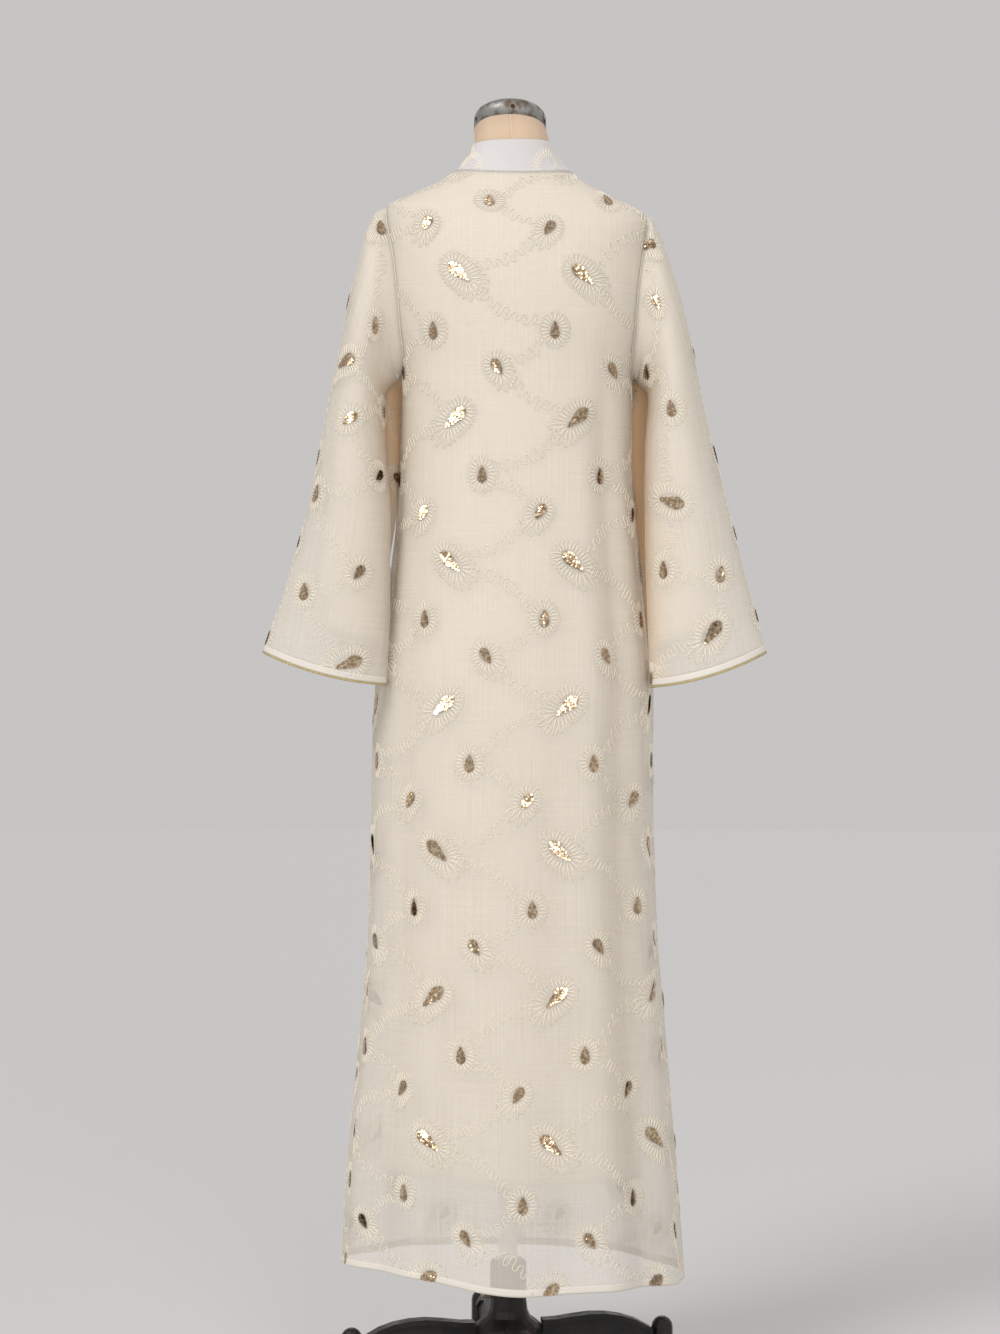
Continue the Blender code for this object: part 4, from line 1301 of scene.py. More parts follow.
class FlatMap:
    """Lays flat cloth onto a surface, so that lengths along the cloth are kept.

    Across is the length along the row from the zero column, and up is the length along one chosen
    column. Both are added up over a fine grid and read back from it.
    """

    def __init__(self, surface: Surface, rows: Array, columns: Array, zero: float, meridian: float, side: int,
                 rising: int) -> None:
        """Measures the surface.

        Args:
            surface: the surface that carries the cloth.
            rows: its row numbers, rising.
            columns: its column numbers, rising.
            zero: the column where across is nought.
            meridian: the column along which up is measured.
            side: 1 where across grows with the column, or -1.
            rising: 1 where the rows run up the cloth, or -1.
        """
        self.surface = surface
        self.rows = rows
        self.columns = columns
        self.points = surface.point(rows[:, None], columns[None, :])
        start = int(np.argmin(np.abs(columns - zero)))
        middle = int(np.argmin(np.abs(columns - meridian)))
        places = cloth_places(self.points, start, middle)
        self.across = places[..., 0] * side
        self.length = places[:, 0, 1]
        self.rising = rising
        self.samples = np.linspace(self.across.min(), self.across.max(), 401)
        order = slice(None, None, side)
        lines = [np.interp(self.samples, line[order], columns[order]) for line in self.across]
        self.inverse = np.array(lines)

    def lookup(self, places: Array) -> tuple[Array, Array]:
        """Turns flat places into rows and columns, by blending the four samples around each."""
        length = places[..., 1] * self.rising
        row = np.interp(length, self.length, self.rows)
        i = np.interp(length, self.length, np.arange(len(self.rows)))
        span = self.samples[1] - self.samples[0]
        j = np.clip((places[..., 0] - self.samples[0]) / span, 0, len(self.samples) - 1.001)
        i0 = np.clip(i.astype(int), 0, len(self.rows) - 2)
        j0 = j.astype(int)
        s, t = i - i0, j - j0
        low = self.inverse[i0, j0] * (1 - t) + self.inverse[i0, j0 + 1] * t
        high = self.inverse[i0 + 1, j0] * (1 - t) + self.inverse[i0 + 1, j0 + 1] * t
        return row, low * (1 - s) + high * s

    def fit(self, place: Array, step: float = 0.002) -> Array:
        """Gives the turn and stretch that keep a shape true at one flat place.

        The map's own two steps there are measured along the level and the upright direction of
        the surface. The two-by-two table of them is inverted, and its stretches are held in bounds.
        """
        row, col = self.lookup(np.array([[0.0, 0.0], [step, 0.0], [0.0, step]]) + place)
        points, normal = self.surface.point(row, col), self.surface.normal(row, col)[0]
        upright = unit(np.array([0.0, 0.0, 1.0]) - normal * normal[2])
        level = np.cross(upright, normal)
        steps = (points[1:] - points[0]) / step
        turn, stretch, back = np.linalg.svd(np.linalg.inv(np.stack([steps @ level, steps @ upright])))
        return turn @ np.diag(np.clip(stretch, 0.65, 1.5)) @ back

    def flat(self, row: float, column_at: float) -> Array:
        """Gives the flat place of the grid point nearest to a row and column."""
        i = int(np.argmin(np.abs(self.rows - row)))
        j = int(np.argmin(np.abs(self.columns - column_at)))
        return np.array([self.across[i, j], self.length[i] * self.rising])

    def level(self, z: float, column_at: float) -> float:
        """Finds the row at which a column stands at a height."""
        j = int(np.argmin(np.abs(self.columns - column_at)))
        return float(self.rows[int(np.argmin(np.abs(self.points[:, j, 2] - z)))])

    def seen_at(self, x: float, z: float, low: float, high: float) -> tuple[float, float]:
        """Finds the row and column, between two columns, that lie nearest to a place seen from behind."""
        inside = (self.columns >= low) & (self.columns <= high)
        away = np.hypot(self.points[..., 0] - x, self.points[..., 2] - z) + 10.0 * ~inside[None, :]
        i, j = np.unravel_index(int(np.argmin(away)), away.shape)
        return float(self.rows[i]), float(self.columns[j])


@dataclass(frozen=True)
class Field:
    """A piece of cloth that carries embroidery: its map, and the bounds that the thread stays in."""

    flat: FlatMap
    bounds: Callable[[Array], tuple[Array, Array]]
    low: float
    high: float

    def inside(self, row: Array, column_at: Array) -> Array:
        """Tells which places are on the cloth."""
        first, last = self.bounds(row)
        return (column_at > first) & (column_at < last) & (row > self.low) & (row < self.high)


class Slant(Enum):
    """How a teardrop leans: the direction from its round end to its point, in degrees."""

    UPRIGHT = 90.0
    FALLING = -42.0
    RISING = -138.0


@dataclass(frozen=True)
class DropKind:
    """The sizes of one kind of teardrop with its ring of looped petals."""

    half_length: float
    half_width: float
    core: tuple[float, float]
    petals: int
    reach: float
    tail: float
    petal_points: int = 9
    widest: float = -0.42
    taper: float = 1.55

    def width(self, along: Array) -> Array:
        """Gives the teardrop's half width along its middle line.

        From the round end to the widest place it is a quarter of an oval. From there it falls to
        the point by a power of the way.
        """
        t = np.clip(along / self.half_length, -1, 1)
        bulge = np.sqrt(np.maximum(1 - ((t - self.widest) / (1 + self.widest)) ** 2, 0))
        point = 1 - np.maximum((t - self.widest) / (1 - self.widest), 0) ** self.taper
        return self.half_width * np.where(t < self.widest, bulge, point)

    @property
    def radius(self) -> float:
        """Returns how far out the ring reaches at the drop's side."""
        return self.core[1] + self.reach


LARGE = DropKind(0.018, 0.0076, (0.0185, 0.0095), 26, 0.015, 0.014)
SMALL = DropKind(0.0112, 0.0061, (0.011, 0.0078), 20, 0.014, 0.0)
TAILED = DropKind(0.0112, 0.0061, (0.011, 0.0078), 20, 0.0125, 0.012)


@dataclass(frozen=True)
class Drop:
    """One teardrop on flat cloth."""

    place: tuple[float, float]
    kind: DropKind
    degrees: float
    fit: tuple[tuple[float, float], tuple[float, float]] = ((1.0, 0.0), (0.0, 1.0))

    def turned(self, points: Array) -> Array:
        """Turns, fits and moves points from the drop's own axes, along and across, to the cloth."""
        turn = math.radians(self.degrees)
        c, s = math.cos(turn), math.sin(turn)
        x = points[..., 0] * c - points[..., 1] * s
        y = points[..., 0] * s + points[..., 1] * c
        return np.stack([x, y], -1) @ np.array(self.fit).T + np.array(self.place)

    def petals(self) -> Array:
        """Draws the ring of petals as one closed line.

        The line runs around an oval core. It swings out and in once for each petal, by half a
        cosine, and hurries along the oval while it is out, so that each petal has a narrow foot
        and a round head. The petals at the drop's point reach further.
        """
        kind = self.kind
        phase = 2 * np.pi * np.arange(kind.petals * kind.petal_points) / kind.petal_points
        around = (phase - 0.92 * np.sin(phase)) / kind.petals
        c, s = np.cos(around), np.sin(around)
        a, b = kind.core
        out = unit(np.stack([c / a, s / b], -1))
        reach = kind.reach + kind.tail * np.clip(c, 0, 1) ** 4
        swing = reach * (0.5 - 0.5 * np.cos(phase))
        return self.turned(np.stack([a * c, b * s], -1) + out * swing[:, None])

    def outline(self, along: Array, across: Array) -> Array:
        """Tells how far inside the teardrop places are: 0 on its edge, 1 on its middle line."""
        return 1 - np.abs(across) / np.maximum(self.kind.width(along), 1e-6)


class ThreadWork(Ridges):
    """Embroidery thread on one piece of cloth, drawn as lines on flat cloth."""

    def __init__(self, ground: Field) -> None:
        """Starts with no thread on a cloth."""
        super().__init__(width=0.00155, height=0.0006, sunk=0.0002)
        self.ground = ground

    def draw(self, lines: Array, closed: bool) -> None:
        """Adds lines on flat cloth, by line and point, and keeps what lies on the cloth."""
        row, col = self.ground.flat.lookup(lines)
        surface = self.ground.flat.surface
        inside = self.ground.inside(row, col)
        self.add(surface.point(row, col), surface.normal(row, col), closed, inside)


@dataclass(frozen=True)
class Squiggle:
    """A wavy line of thread between two drops, whose bends are rounder than a sine's."""

    wavelength: float = 0.0132
    amplitude: float = 0.007
    overhang: float = 1.25
    points: int = 13
    bow: float = 0.1
    waver: float = 0.3

    def between(self, start: Drop, end: Drop, rng: Draws) -> Array | None:
        """Draws the line from ring to ring.

        The line follows a shallow arc. It swings to both sides as a sine, and its step along the
        arc is held back at the middle of each swing, so that the bends hang over. The swings' size
        rises and falls slowly along the line.

        Args:
            start: the drop that it leaves.
            end: the drop that it reaches.
            rng: the seeded random numbers.

        Returns:
            The line's points, or nothing where the rings are too close together.
        """
        a, b = np.array(start.place), np.array(end.place)
        length = float(np.linalg.norm(b - a))
        along = (b - a) / length
        across = np.array([-along[1], along[0]])
        free = length - start.kind.radius - end.kind.radius
        waves = int(round(free / self.wavelength))
        if waves < 1:
            return None
        phase = np.linspace(0, 2 * np.pi * waves, waves * self.points + 1)
        gone = (phase - self.overhang / 2 * np.sin(2 * phase)) / (2 * np.pi * waves)
        fade = ease(np.minimum(phase, phase[-1] - phase) / np.pi)
        size = 1 + self.waver * np.sin(phase * rng.uniform(0.28, 0.45) + rng.uniform(0, 2 * np.pi))
        swing = self.amplitude * np.sin(phase) * (0.35 + 0.65 * fade) * size
        bowed = self.bow * rng.choice([-1.0, 1.0]) * length * np.sin(np.pi * gone)
        distance = start.kind.radius + gone * free
        return a + along * distance[:, None] + across * (swing + bowed)[:, None]


@dataclass(frozen=True)
class Sequins:
    """The sequins of a drop: round scales in offset rows, each tilted a little."""

    radius: float = 0.0016
    pitch: float = 0.002
    sides: int = 8
    lift: float = 0.0011
    lean: float = 9.0
    drop_tilt: float = 7.0
    crease: float = 7.0
    jitter: float = 4.5

    def places(self, drop: Drop) -> Array:
        """Gives the scales' places in the drop's own axes, in offset rows inside its outline."""
        kind = drop.kind
        rows = np.arange(-kind.half_length, kind.half_length, self.pitch * 0.86)
        columns = np.arange(-6, 7) * self.pitch
        along = np.repeat(rows, len(columns)).reshape(len(rows), -1)
        shift = (np.arange(len(rows)) % 2)[:, None] * self.pitch / 2
        across = columns[None, :] + shift + 0 * along
        kept = drop.outline(along, across) > 0.06
        return np.stack([along[kept], across[kept]], -1)

    def build(self, name: str, ground: Field, drops: Sequence[Drop], rng: Draws) -> Piece:
        """Builds all scales of a piece of cloth as one mesh.

        Each scale is a flat round plate. It leans back towards the drop's round end like a scale
        on a roof. Its drop's own tilt, the crease along the drop and a small random tilt are added.

        Args:
            name: the piece's name.
            ground: the cloth.
            drops: its teardrops.
            rng: the seeded random numbers.

        Returns:
            The new object.
        """
        local = [self.places(drop) for drop in drops]
        owner = np.repeat(np.arange(len(drops)), [len(p) for p in local])
        flat = np.concatenate([drop.turned(p) for drop, p in zip(drops, local)])
        ends = np.array([[0.0, 0.0], [0.0005, 0.0]])
        direction = np.stack([np.diff(drop.turned(ends), axis=0)[0] for drop in drops])[owner]
        at = lambda places: ground.flat.surface.point(*ground.flat.lookup(places))
        row, col = ground.flat.lookup(flat)
        middle, normal = at(flat), ground.flat.surface.normal(row, col)
        along = unit(at(flat + direction) - middle)
        across = np.cross(normal, along)
        side = np.sign(np.concatenate(local)[:, 1] + 0.0004)
        split = rng.uniform(0.2, 1.0, len(drops))[owner]
        lean = self.lean + rng.normal(0, self.drop_tilt, len(drops))[owner]
        lean = lean + rng.normal(0, self.jitter, len(flat))
        roll = side * split * self.crease + rng.normal(0, self.drop_tilt, len(drops))[owner]
        roll = roll + rng.normal(0, self.jitter, len(flat))
        facing = turned_about(turned_about(normal, across, -np.radians(lean)), along, np.radians(roll))
        right = unit(np.cross(facing, along))
        ahead = np.cross(right, facing)
        rim = even_turns(self.sides)
        ring = np.cos(rim)[None, :, None] * ahead[:, None] + np.sin(rim)[None, :, None] * right[:, None]
        centre = middle + normal * self.lift
        points = (centre[:, None] + ring * self.radius)[ground.inside(row, col)]
        faces = np.arange(len(points) * self.sides).reshape(-1, self.sides)
        piece = put_mesh(name, points.reshape(-1, 3), [faces])
        piece.data.shade_flat()
        return piece


@dataclass(frozen=True)
class DropBeds:
    """The dark raised bed under each drop's sequins."""

    columns: int = 20
    shares: tuple[float, float, float] = (1.0, 0.92, 0.55)
    height: float = 0.0009
    sunk: float = 0.0002

    def build(self, name: str, ground: Field, drops: Sequence[Drop]) -> Piece:
        """Builds every bed as a low dome with the drop's outline.

        The outline is read at turns around the drop. Three rings step up and in from it to the top.

        Args:
            name: the piece's name.
            ground: the cloth.
            drops: its teardrops.

        Returns:
            The new object.
        """
        turn = even_turns(self.columns)
        rings = []
        for drop in drops:
            along = np.cos(turn) * drop.kind.half_length
            edge = np.stack([along, np.sign(np.sin(turn)) * drop.kind.width(along)], -1)
            rings.append(np.stack([drop.turned(edge * share) for share in self.shares]))
        flat = np.array(rings)
        row, col = ground.flat.lookup(flat)
        normal = ground.flat.surface.normal(row, col)
        rise = np.array([-self.sunk, self.height * 0.6, self.height])[None, :, None, None]
        points = ground.flat.surface.point(row, col) + normal * rise
        return put_domes(name, points[ground.inside(row, col).all(axis=(1, 2))])


@dataclass(frozen=True)
class Lattice:
    """The repeat of the embroidery on flat cloth, seen with the cloth's outside up.

    Each row has one large drop in every repeat. A small upright drop and a small slanted one hang
    below it. The slant changes over from row to row, and the squiggles lead from each large drop to
    the next upright one, on to the slanted one, and down to the next row.
    """

    across: float = 0.1645
    drift: float = -0.006
    down: float = 0.1896
    upright: tuple[float, float] = (-0.038, -0.0745)
    slanted: tuple[float, float] = (0.051, -0.1245)

    def cell(self, origin: tuple[float, float], row: int, k: int) -> tuple[Drop, Drop, Drop]:
        """Gives the large, the upright and the slanted drop of one repeat."""
        way = 1 if row % 2 == 0 else -1
        lean = Slant.FALLING if way > 0 else Slant.RISING
        x = origin[0] + self.across * k + self.drift * row
        y = origin[1] - self.down * row
        upright = Drop((x + self.upright[0] * way, y + self.upright[1]), SMALL, Slant.UPRIGHT.value)
        slanted = Drop((x + self.slanted[0] * way, y + self.slanted[1]), TAILED, lean.value - 16 * way)
        return Drop((x, y), LARGE, lean.value), upright, slanted

    def drops(self, origin: tuple[float, float], rows: range,
              columns: range) -> tuple[list[Drop], list[tuple[Drop, Drop]]]:
        """Gives all drops of a stretch of cloth, and the pairs that squiggles join."""
        drops: list[Drop] = []
        pairs: list[tuple[Drop, Drop]] = []
        for row in rows:
            way = 1 if row % 2 == 0 else -1
            for k in columns:
                large, upright, slanted = self.cell(origin, row, k)
                drops += [large, upright, slanted]
                pairs.append((large, self.cell(origin, row, k + way)[1]))
                pairs.append((self.cell(origin, row, k + way)[1], slanted))
                pairs.append((slanted, self.cell(origin, row + 1, k + way)[0]))
        return drops, pairs


@dataclass(frozen=True)
class Embroidery:
    """The thread and the sequins on the sheer cloth."""

    finishes: Finishes
    cuts: Cuts
    seam: float = 0.015
    hem: float = 0.001
    neck: float = 0.003
    overlap: float = 0.02

    def sew(self, label: str, ground: Field, drops: Sequence[Drop], pairs: Sequence[tuple[Drop, Drop]],
            rng: Draws) -> None:
        """Builds the rings, squiggles, beds and sequins of one piece of cloth.

        Args:
            label: the cloth's name, which starts the pieces' names.
            ground: the cloth.
            drops: its teardrops.
            pairs: the drops that squiggles join.
            rng: the seeded random numbers.
        """
        rings = ThreadWork(ground)
        for kind in (LARGE, SMALL, TAILED):
            lines = [drop.petals() for drop in drops if drop.kind is kind]
            if lines:
                rings.draw(np.array(lines), True)
        self.cuts.sew(label, rings.build(f"{label}_petals"), self.finishes.thread)
        waves = ThreadWork(ground)
        for start, end in pairs:
            line = Squiggle().between(start, end, rng)
            if line is not None:
                waves.draw(line[None], False)
        self.cuts.sew(label, waves.build(f"{label}_squiggles"), self.finishes.thread)
        beds = DropBeds().build(f"{label}_drop_beds", ground, drops)
        self.cuts.sew(label, beds, self.finishes.bed)
        sequins = Sequins().build(f"{label}_sequins", ground, drops, rng)
        self.cuts.sew(label, sequins, self.finishes.sequins)

    def body_field(self, part: Part) -> Field:
        """Measures one panel of the body, which the thread fills up to its seams."""
        rows = np.concatenate([np.linspace(HEM_HEIGHT, 1.5, 90), np.linspace(1.5, NECKLINE_HEIGHT, 40)[1:]])
        columns = np.linspace(part.start - self.overlap, part.end + self.overlap, 181)
        outwards = BACK + 0.7 if part is Part.BACK else part.centre
        flat = FlatMap(part.surface, rows, columns, part.centre, outwards, 1, 1)

        def bounds(height: Array) -> tuple[Array, Array]:
            """Gives the first and last angle of the panel at each height."""
            cut = armhole_angle(height) + self.seam
            first = part.start + np.where(abs(math.cos(part.start)) > 0.5, cut, self.seam)
            last = part.end - np.where(abs(math.cos(part.end)) > 0.5, cut, self.seam)
            return first, last

        return Field(flat, bounds, HEM_HEIGHT + self.hem, NECKLINE_HEIGHT - self.neck)

    def build(self) -> None:
        """Sews the three panels with one repeat.

        Its first row of large drops is placed between the shoulders, and it runs out at the
        fronts' centre edges.
        """
        back, fronts = (-0.0775, 1.505), (0.082, 1.49)
        for number, (part, (across, height)) in enumerate(zip(Part, (back, fronts, fronts))):
            ground = self.body_field(part)
            start = ground.flat.flat(height, part.centre)[1]
            drops, pairs = Lattice().drops((across, float(start)), range(-1, 8), range(-4, 5))
            self.sew(part.label, ground, drops, pairs, np.random.default_rng(SEED + number))


@dataclass(frozen=True)
class SeenDrop:
    """A drop on a sleeve, placed where it is seen from behind, in metres."""

    x: float
    z: float
    kind: DropKind = SMALL
    degrees: float = Slant.UPRIGHT.value


LEFT_DROPS = rows_of(
    SeenDrop,
    (-0.1789, 1.5704), (-0.1856, 1.4376), (-0.2241, 1.3898, LARGE, -165.0), (-0.1564, 1.3274),
    (-0.2188, 1.3101, SMALL, -140.0), (-0.1789, 1.2371, SMALL, -150.0), (-0.2639, 1.2119),
    (-0.2055, 1.1043, SMALL, -130.0), (-0.2772, 1.0831), (-0.2174, 0.9888, LARGE, -160.0),
)
RIGHT_DROPS = rows_of(
    SeenDrop,
    (0.1782, 1.5465, SMALL, -140.0), (0.1889, 1.4681, SMALL, -60.0), (0.1756, 1.3779),
    (0.2061, 1.3261, SMALL, 100.0), (0.2061, 1.1986, LARGE, 165.0), (0.1955, 1.115),
    (0.2712, 1.103, SMALL, 75.0), (0.2592, 1.026, LARGE, -125.0), (0.1809, 0.9662, SMALL, 70.0),
)


@dataclass(frozen=True)
class FoldDrop:
    """A drop on a sleeve's outer fold, placed by its height in metres."""

    z: float
    kind: DropKind = SMALL
    degrees: float = Slant.UPRIGHT.value


LEFT_FOLD = rows_of(
    FoldDrop,
    (1.475,), (1.26, LARGE, -120.0), (1.148, SMALL, -50.0), (1.025, SMALL, 100.0),
)
RIGHT_FOLD = rows_of(
    FoldDrop,
    (1.405, SMALL, -60.0), (1.265, LARGE, -65.0), (1.165,), (1.05, SMALL, -130.0),
)


@dataclass(frozen=True)
class SleeveEmbroidery:
    """The same work on a sleeve: on its back half as seen, mirrored on its front, and on its fold."""

    work: Embroidery
    sleeve: Sleeve
    seen: Sequence[SeenDrop]
    fold: Sequence[FoldDrop]
    seam: float = 0.05
    armhole: float = 0.1
    cuff: float = 0.02

    def build(self) -> None:
        """Places the drops, joins each to the next, and sews them."""
        surface = self.sleeve.surface
        rows = np.linspace(0.02, surface.last, 150)
        columns = np.linspace(-np.pi, np.pi, 241)
        flat = FlatMap(surface, rows, columns, np.pi / 2, np.pi / 2, -self.sleeve.side, -1)

        def bounds(row: Array) -> tuple[Array, Array]:
            """Gives the first and last turn, on both sides of the seam under the arm."""
            return 0 * row - np.pi + self.seam, 0 * row + np.pi - self.seam

        def sewn(row: float, turn: float, kind: DropKind, degrees: float) -> Drop:
            """Places one drop, with the turn and stretch that keep its shape true."""
            place = flat.flat(row, turn)
            fit = tuple(tuple(line) for line in flat.fit(place).tolist())
            return Drop((float(place[0]), float(place[1])), kind, degrees, fit)

        ground = Field(flat, bounds, self.armhole, surface.last - self.cuff)
        seen = [(*flat.seen_at(drop.x, drop.z, 0.0, np.pi), drop) for drop in self.seen]
        strings = [
            [sewn(row, turn, drop.kind, drop.degrees) for row, turn, drop in seen],
            [sewn(row, -turn, drop.kind, 180 - drop.degrees) for row, turn, drop in seen],
            [sewn(flat.level(drop.z, 0.0), 0.0, drop.kind, drop.degrees) for drop in self.fold],
        ]
        drops = [drop for string in strings for drop in string]
        pairs = [pair for string in strings for pair in zip(string[:-1], string[1:])]
        rng = np.random.default_rng(SEED + 5 + self.sleeve.side)
        self.work.sew(f"sleeve_{self.sleeve.label}", ground, drops, pairs, rng)


@dataclass(frozen=True)
class Collar:
    """The white stand collar: the body's surface carried on above the neckline, open at the front."""

    finishes: Finishes
    cuts: Cuts
    rows: int = 14
    columns: int = 200
    opening: float = 0.001
    foot_gap: float = 0.00005
    rounding: float = 0.3
    rings: tuple[tuple[float, float, float], ...] = (
        (0.047, 0.012, 70.0), (-0.066, 0.01, 20.0), (-0.086, 0.03, 160.0),
    )

    def build_thread(self) -> None:
        """Sews the few rings of petals that run over the collar, placed from the centre back's foot."""
        rows = np.linspace(NECKLINE_HEIGHT, COLLAR_TOP_HEIGHT, 30)
        columns = np.linspace(BACK - 2.6, BACK + 2.6, 181)
        flat = FlatMap(BodySurface, rows, columns, BACK, BACK, 1, 1)

        def bounds(height: Array) -> tuple[Array, Array]:
            """Gives the first and last angle that the thread reaches."""
            return 0 * height + columns[0], 0 * height + columns[-1]

        ground = Field(flat, bounds, NECKLINE_HEIGHT + 0.0012, COLLAR_TOP_HEIGHT - 0.0012)
        drops = [Drop((x, z), SMALL, degrees) for x, z, degrees in self.rings]
        work = ThreadWork(ground)
        work.draw(np.array([drop.petals() for drop in drops]), True)
        self.cuts.sew("collar", work.build("collar_petals"), self.finishes.thread, "collar_cloth")

    def build(self) -> None:
        """Builds the collar as a wall with a rounded top edge, and its thread."""
        heights = np.linspace(NECKLINE_HEIGHT, COLLAR_TOP_HEIGHT, self.rows + 1)
        along, _ = BodySurface.slopes(heights, FRONT)
        gap = (self.opening / 2 / np.linalg.norm(along, axis=-1))[:, None]
        share = np.linspace(0, 1, self.columns + 1)[None, :]
        angles = FRONT + gap + (2 * np.pi - 2 * gap) * share
        outer = BodySurface.point(heights[:, None], angles)
        outer[0] += unit(outer[1] - outer[0]) * self.foot_gap
        normals = BodySurface.normal(heights[:, None], angles)
        inner = outer - normals * COLLAR_WALL
        outer[-1] -= normals[-1] * COLLAR_WALL * self.rounding
        inner[-1] += normals[-1] * COLLAR_WALL * self.rounding
        piece = put_wall("collar_cloth", outer, inner, self.columns // 2)
        Dress("collar_cloth", self.finishes.white, "collar").on(piece)
        self.cuts.add("collar", piece, outer, held=Held.DRAPED)
        self.build_thread()


@dataclass(frozen=True)
class DressForm:
    """The linen torso with its neck, and the domed metal cap on the neck's slanting top."""

    finishes: Finishes
    columns: int = 96
    bottom: float = 0.84
    bottom_share: float = 0.93
    top: float = 1.705
    slope: float = -0.27
    cap_height: float = 0.036
    cap_side: float = 0.016
    cap_rows: int = 18
    seam_angles: tuple[float, ...] = (BACK, SIDE_RIGHT, FRONT, SIDE_LEFT)
    tacks: tuple[tuple[float, float], ...] = (
        (-2.69, 0.0085), (-1.5, 0.0115), (-0.37, 0.007), (0.8, 0.0085), (2.0, 0.0085),
    )
    tack_radius: float = 0.0033
    tack_rings: tuple[tuple[float, float], ...] = ((1.0, -0.0006), (0.92, 0.0005), (0.45, 0.0011))
    seam_width: float = 0.0011

    def skin(self, heights: Array, angles: Array) -> Array:
        """Places points on the form, inside the garment's surface."""
        inset = column(FORM_INSET, "height", "inset", heights)[:, None]
        return BodySurface.point(heights, angles, 0) - BodySurface.normal(heights, angles, 0) * inset

    def ring(self, height: float) -> Array:
        """Gives one ring of the form."""
        angles = BACK + even_turns(self.columns)
        return self.skin(np.full(self.columns, height), angles)

    def top_ring(self) -> Array:
        """Gives the neck's slanting top edge."""
        ring = self.ring(BODY[-1].height)
        ring[:, 2] = self.top + self.slope * ring[:, 1]
        return ring

    def build_torso(self) -> None:
        """Builds the torso and neck, drawn in a little at the bottom edge."""
        heights = np.concatenate([
            np.linspace(0.85, 1.372, 34), np.linspace(1.372, 1.597, 22)[1:],
            np.linspace(1.597, 1.649, 12)[1:], np.linspace(1.649, COLLAR_TOP_HEIGHT, 8)[1:],
        ])
        rings = [self.ring(height) for height in heights]
        start = self.ring(self.bottom)
        middle = start.mean(axis=0)
        edges = []
        for share in (self.bottom_share, (1 + self.bottom_share) / 2):
            edges.append(middle + (start - middle) * share)
            edges[-1][:, 2] = self.bottom + (share - self.bottom_share) * 0.06
        piece = put_turned("form_torso_linen", np.array(edges + rings + [self.top_ring()]))
        Dress("form_linen", self.finishes.linen, "form_torso").on(piece)

    def build_cap(self) -> None:
        """Builds the cap: upright sides, then a dome whose rings shrink by a quarter circle."""
        top = self.top_ring()
        centre = top.mean(axis=0)
        upwards = unit(np.array([0, -self.slope, 1]))
        rings = [top + upwards * SEAM_GAP]
        for turn in np.linspace(0, math.radians(86), self.cap_rows):
            lift = self.cap_side + (self.cap_height - self.cap_side) * math.sin(turn)
            rings.append(centre + (top - centre) * math.cos(turn) + upwards * lift)
        piece = put_turned("form_cap_metal", np.array(rings))
        Dress("neck_cap", self.finishes.cap, "form_neck_cap").on(piece)

    def build_seams(self) -> None:
        """Builds the seams of the linen cover, from the waist up to the cap."""
        ridges = Ridges(self.seam_width, Seams.height, Seams.sunk)
        heights = np.linspace(0.86, COLLAR_TOP_HEIGHT, 160)
        for angle in self.seam_angles:
            angles = np.full_like(heights, angle)
            line = self.skin(heights, angles)
            column_at = int(round((angle - BACK) % (2 * np.pi) / (2 * np.pi) * self.columns)) % self.columns
            line = np.concatenate([line, self.top_ring()[column_at][None]])
            normal = BodySurface.normal(np.append(heights, COLLAR_TOP_HEIGHT), np.append(angles, angle), 0)
            ridges.add(line[None], normal[None], False)
        Dress("form_linen", self.finishes.sewing).on(ridges.build("form_seams"))

    def build_tacks(self) -> None:
        """Builds the tacks around the cap's side, each a low dome of three rings on its own axis."""
        top = self.top_ring()
        centre = top.mean(axis=0)
        upwards = unit(np.array([0, -self.slope, 1]))
        angle = np.arctan2(*(top - centre)[:, 1::-1].T)
        turn = even_turns(12)
        domes = []
        for place, lift in self.tacks:
            nearest = int(np.argmin(np.abs((angle - place + np.pi) % (2 * np.pi) - np.pi)))
            out = unit(top[nearest] - centre)
            side = np.cross(upwards, out)
            middle = top[nearest] + upwards * lift
            circle = np.cos(turn)[:, None] * side + np.sin(turn)[:, None] * upwards
            domes.append([middle + circle * self.tack_radius * share + out * rise
                          for share, rise in self.tack_rings])
        Dress("neck_cap", self.finishes.tack).on(put_domes("cap_tacks", np.array(domes)))

    def build(self) -> None:
        """Builds the torso with its seams and the cap with its tacks."""
        self.build_torso()
        self.build_cap()
        self.build_seams()
        self.build_tacks()


@dataclass(frozen=True)
class Stand:
    """The pole and the cast-iron foot, kept as the frame's own solids."""

    finishes: Finishes

    def build(self) -> None:
        """Gives the stand's solids their materials."""
        iron = ["base_hub"] + [f"base_{kind}_{n}" for kind in ("leg", "foot") for n in range(1, 5)]
        dressed = {name: self.finishes.iron for name in iron}
        dressed["form_pole"] = self.finishes.steel
        dressed["base_clamp_screw"] = self.finishes.clamp
        for name, material in dressed.items():
            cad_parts[name].material_slots[0].material = material
            log.info("%s: finished", name)


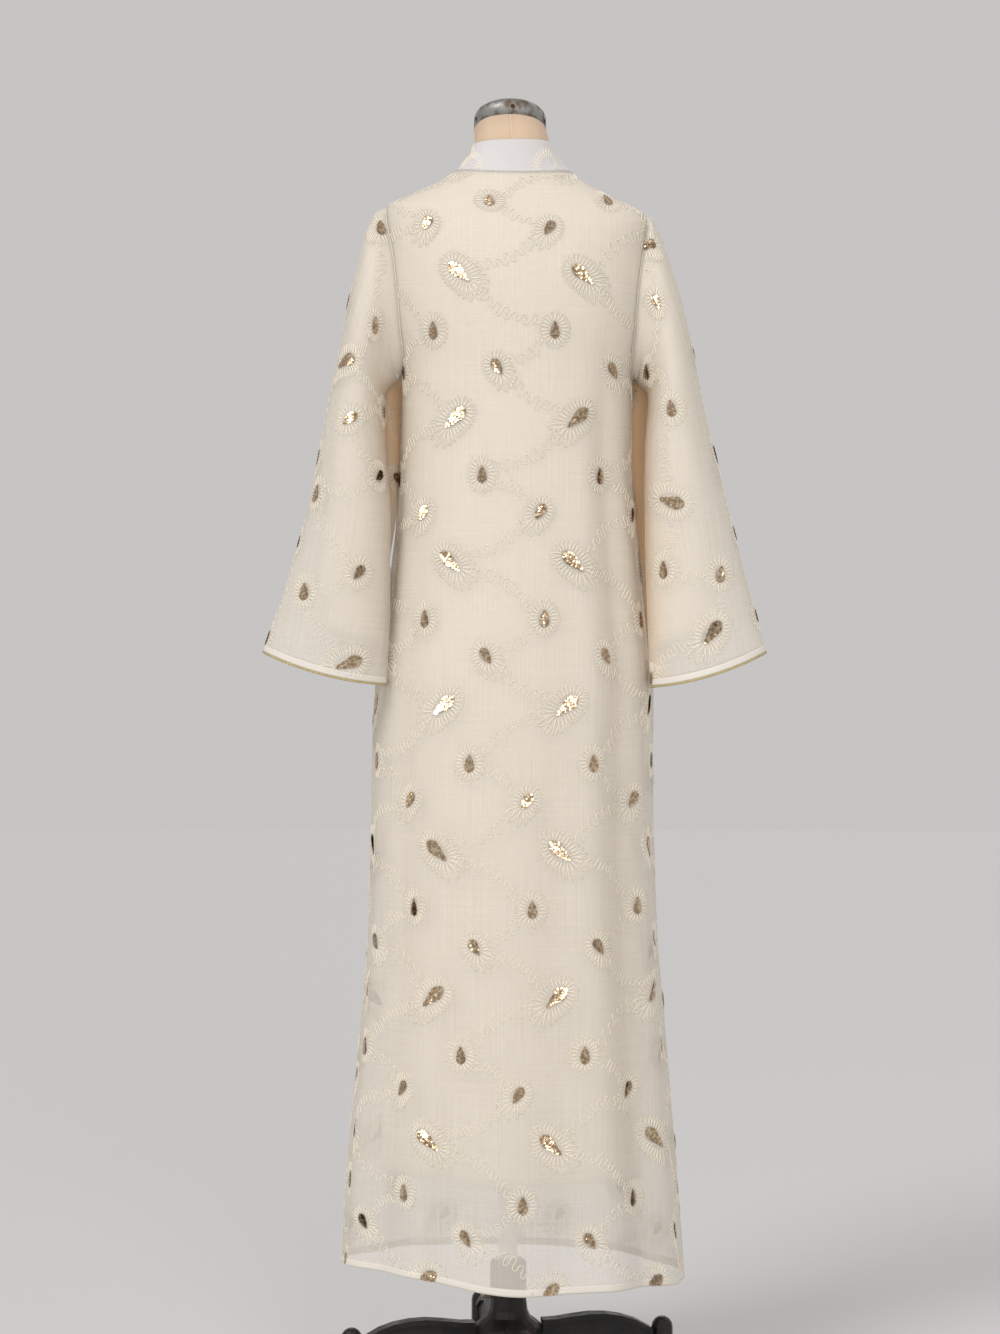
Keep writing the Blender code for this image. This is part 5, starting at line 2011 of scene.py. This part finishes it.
@dataclass(frozen=True)
class Studio:
    """The pale floor, the soft lights and the camera at the photograph's angle."""

    finishes: Finishes
    camera_place: tuple[float, float, float] = (-0.0196, -4.0, 0.9835)
    lens: float = 80.1
    sensor: float = 36.0
    floor_radius: float = 14.0

    def build_camera(self) -> None:
        """Places the camera level, at the height of the object's middle."""
        data = bpy.data.cameras.new("camera")
        data.sensor_fit = "VERTICAL"
        data.sensor_height = self.sensor
        data.lens = self.lens
        camera = bpy.data.objects.new("camera", data)
        camera.location = self.camera_place
        camera.rotation_euler = (math.radians(90), 0, 0)
        bpy.context.scene.collection.objects.link(camera)
        bpy.context.scene.camera = camera

    def build_light(self, name: str, kind: str, place: Sequence[float], target: Sequence[float],
                    power: float) -> bpy.types.Light:
        """Places one light, turned towards a target, and returns its data."""
        data = bpy.data.lights.new(name, kind)
        data.energy = power
        light = bpy.data.objects.new(name, data)
        light.location = place
        light.rotation_euler = (Vector(target) - Vector(place)).to_track_quat("-Z", "Y").to_euler()
        bpy.context.scene.collection.objects.link(light)
        return data

    def build_floor(self) -> None:
        """Builds the floor as one flat disc."""
        turn = even_turns(64)
        points = np.stack([np.cos(turn), np.sin(turn), 0 * turn], -1) * self.floor_radius
        points[:, 2] = -0.0005
        floor = put_mesh("floor", points, [np.arange(64)[None, :]])
        floor.data.materials.append(self.finishes.floor)

    def build_world(self) -> None:
        """Sets an even pale surrounding light."""
        world = bpy.data.worlds.new("studio")
        world.use_nodes = True
        shade = world.node_tree.nodes["Background"]
        shade.inputs["Color"].default_value = (0.75, 0.73, 0.72, 1)
        shade.inputs["Strength"].default_value = 0.76
        bpy.context.scene.world = world

    def build(self) -> None:
        """Builds the whole studio."""
        self.build_camera()
        self.build_floor()
        self.build_world()
        self.build_light("key", "SUN", (-2.4, -2.9, 3.0), (0, 0, 0), 1.3).angle = math.radians(24.0)
        self.build_light("behind", "SUN", (1.6, 3.6, 2.6), (0, 0, 0), 0.38).angle = math.radians(70.0)
        self.build_light("fill", "AREA", (0.7, -3.1, 2.2), (0, 0, 1.45), 29.0).size = 1.0
        bpy.context.scene.view_settings.view_transform = "Standard"


def main() -> None:
    """Builds every sub-assembly in turn and logs each cloth's cut."""
    logging.basicConfig(level=logging.INFO, format="%(message)s")
    finishes = Finishes()
    cuts = Cuts()
    Studio(finishes).build()
    Shell(finishes, cuts).build()
    Lining(finishes, cuts).build()
    left = Sleeve(finishes, cuts, "left", -1, LEFT_SLEEVE, LEFT_TUCK, LEFT_PAINTED_GLOW)
    right = Sleeve(finishes, cuts, "right", 1, RIGHT_SLEEVE, RIGHT_TUCK, RIGHT_PAINTED_GLOW)
    seams = Seams(finishes, cuts)
    seams.build_body()
    seams.build_fronts()
    for sleeve in (left, right):
        sleeve.build()
        seams.build_sleeve(sleeve)
    work = Embroidery(finishes, cuts)
    work.build()
    SleeveEmbroidery(work, left, LEFT_DROPS, LEFT_FOLD).build()
    SleeveEmbroidery(work, right, RIGHT_DROPS, RIGHT_FOLD).build()
    Collar(finishes, cuts).build()
    DressForm(finishes).build()
    Stand(finishes).build()
    cuts.declare()


if __name__ == "__main__":
    main()
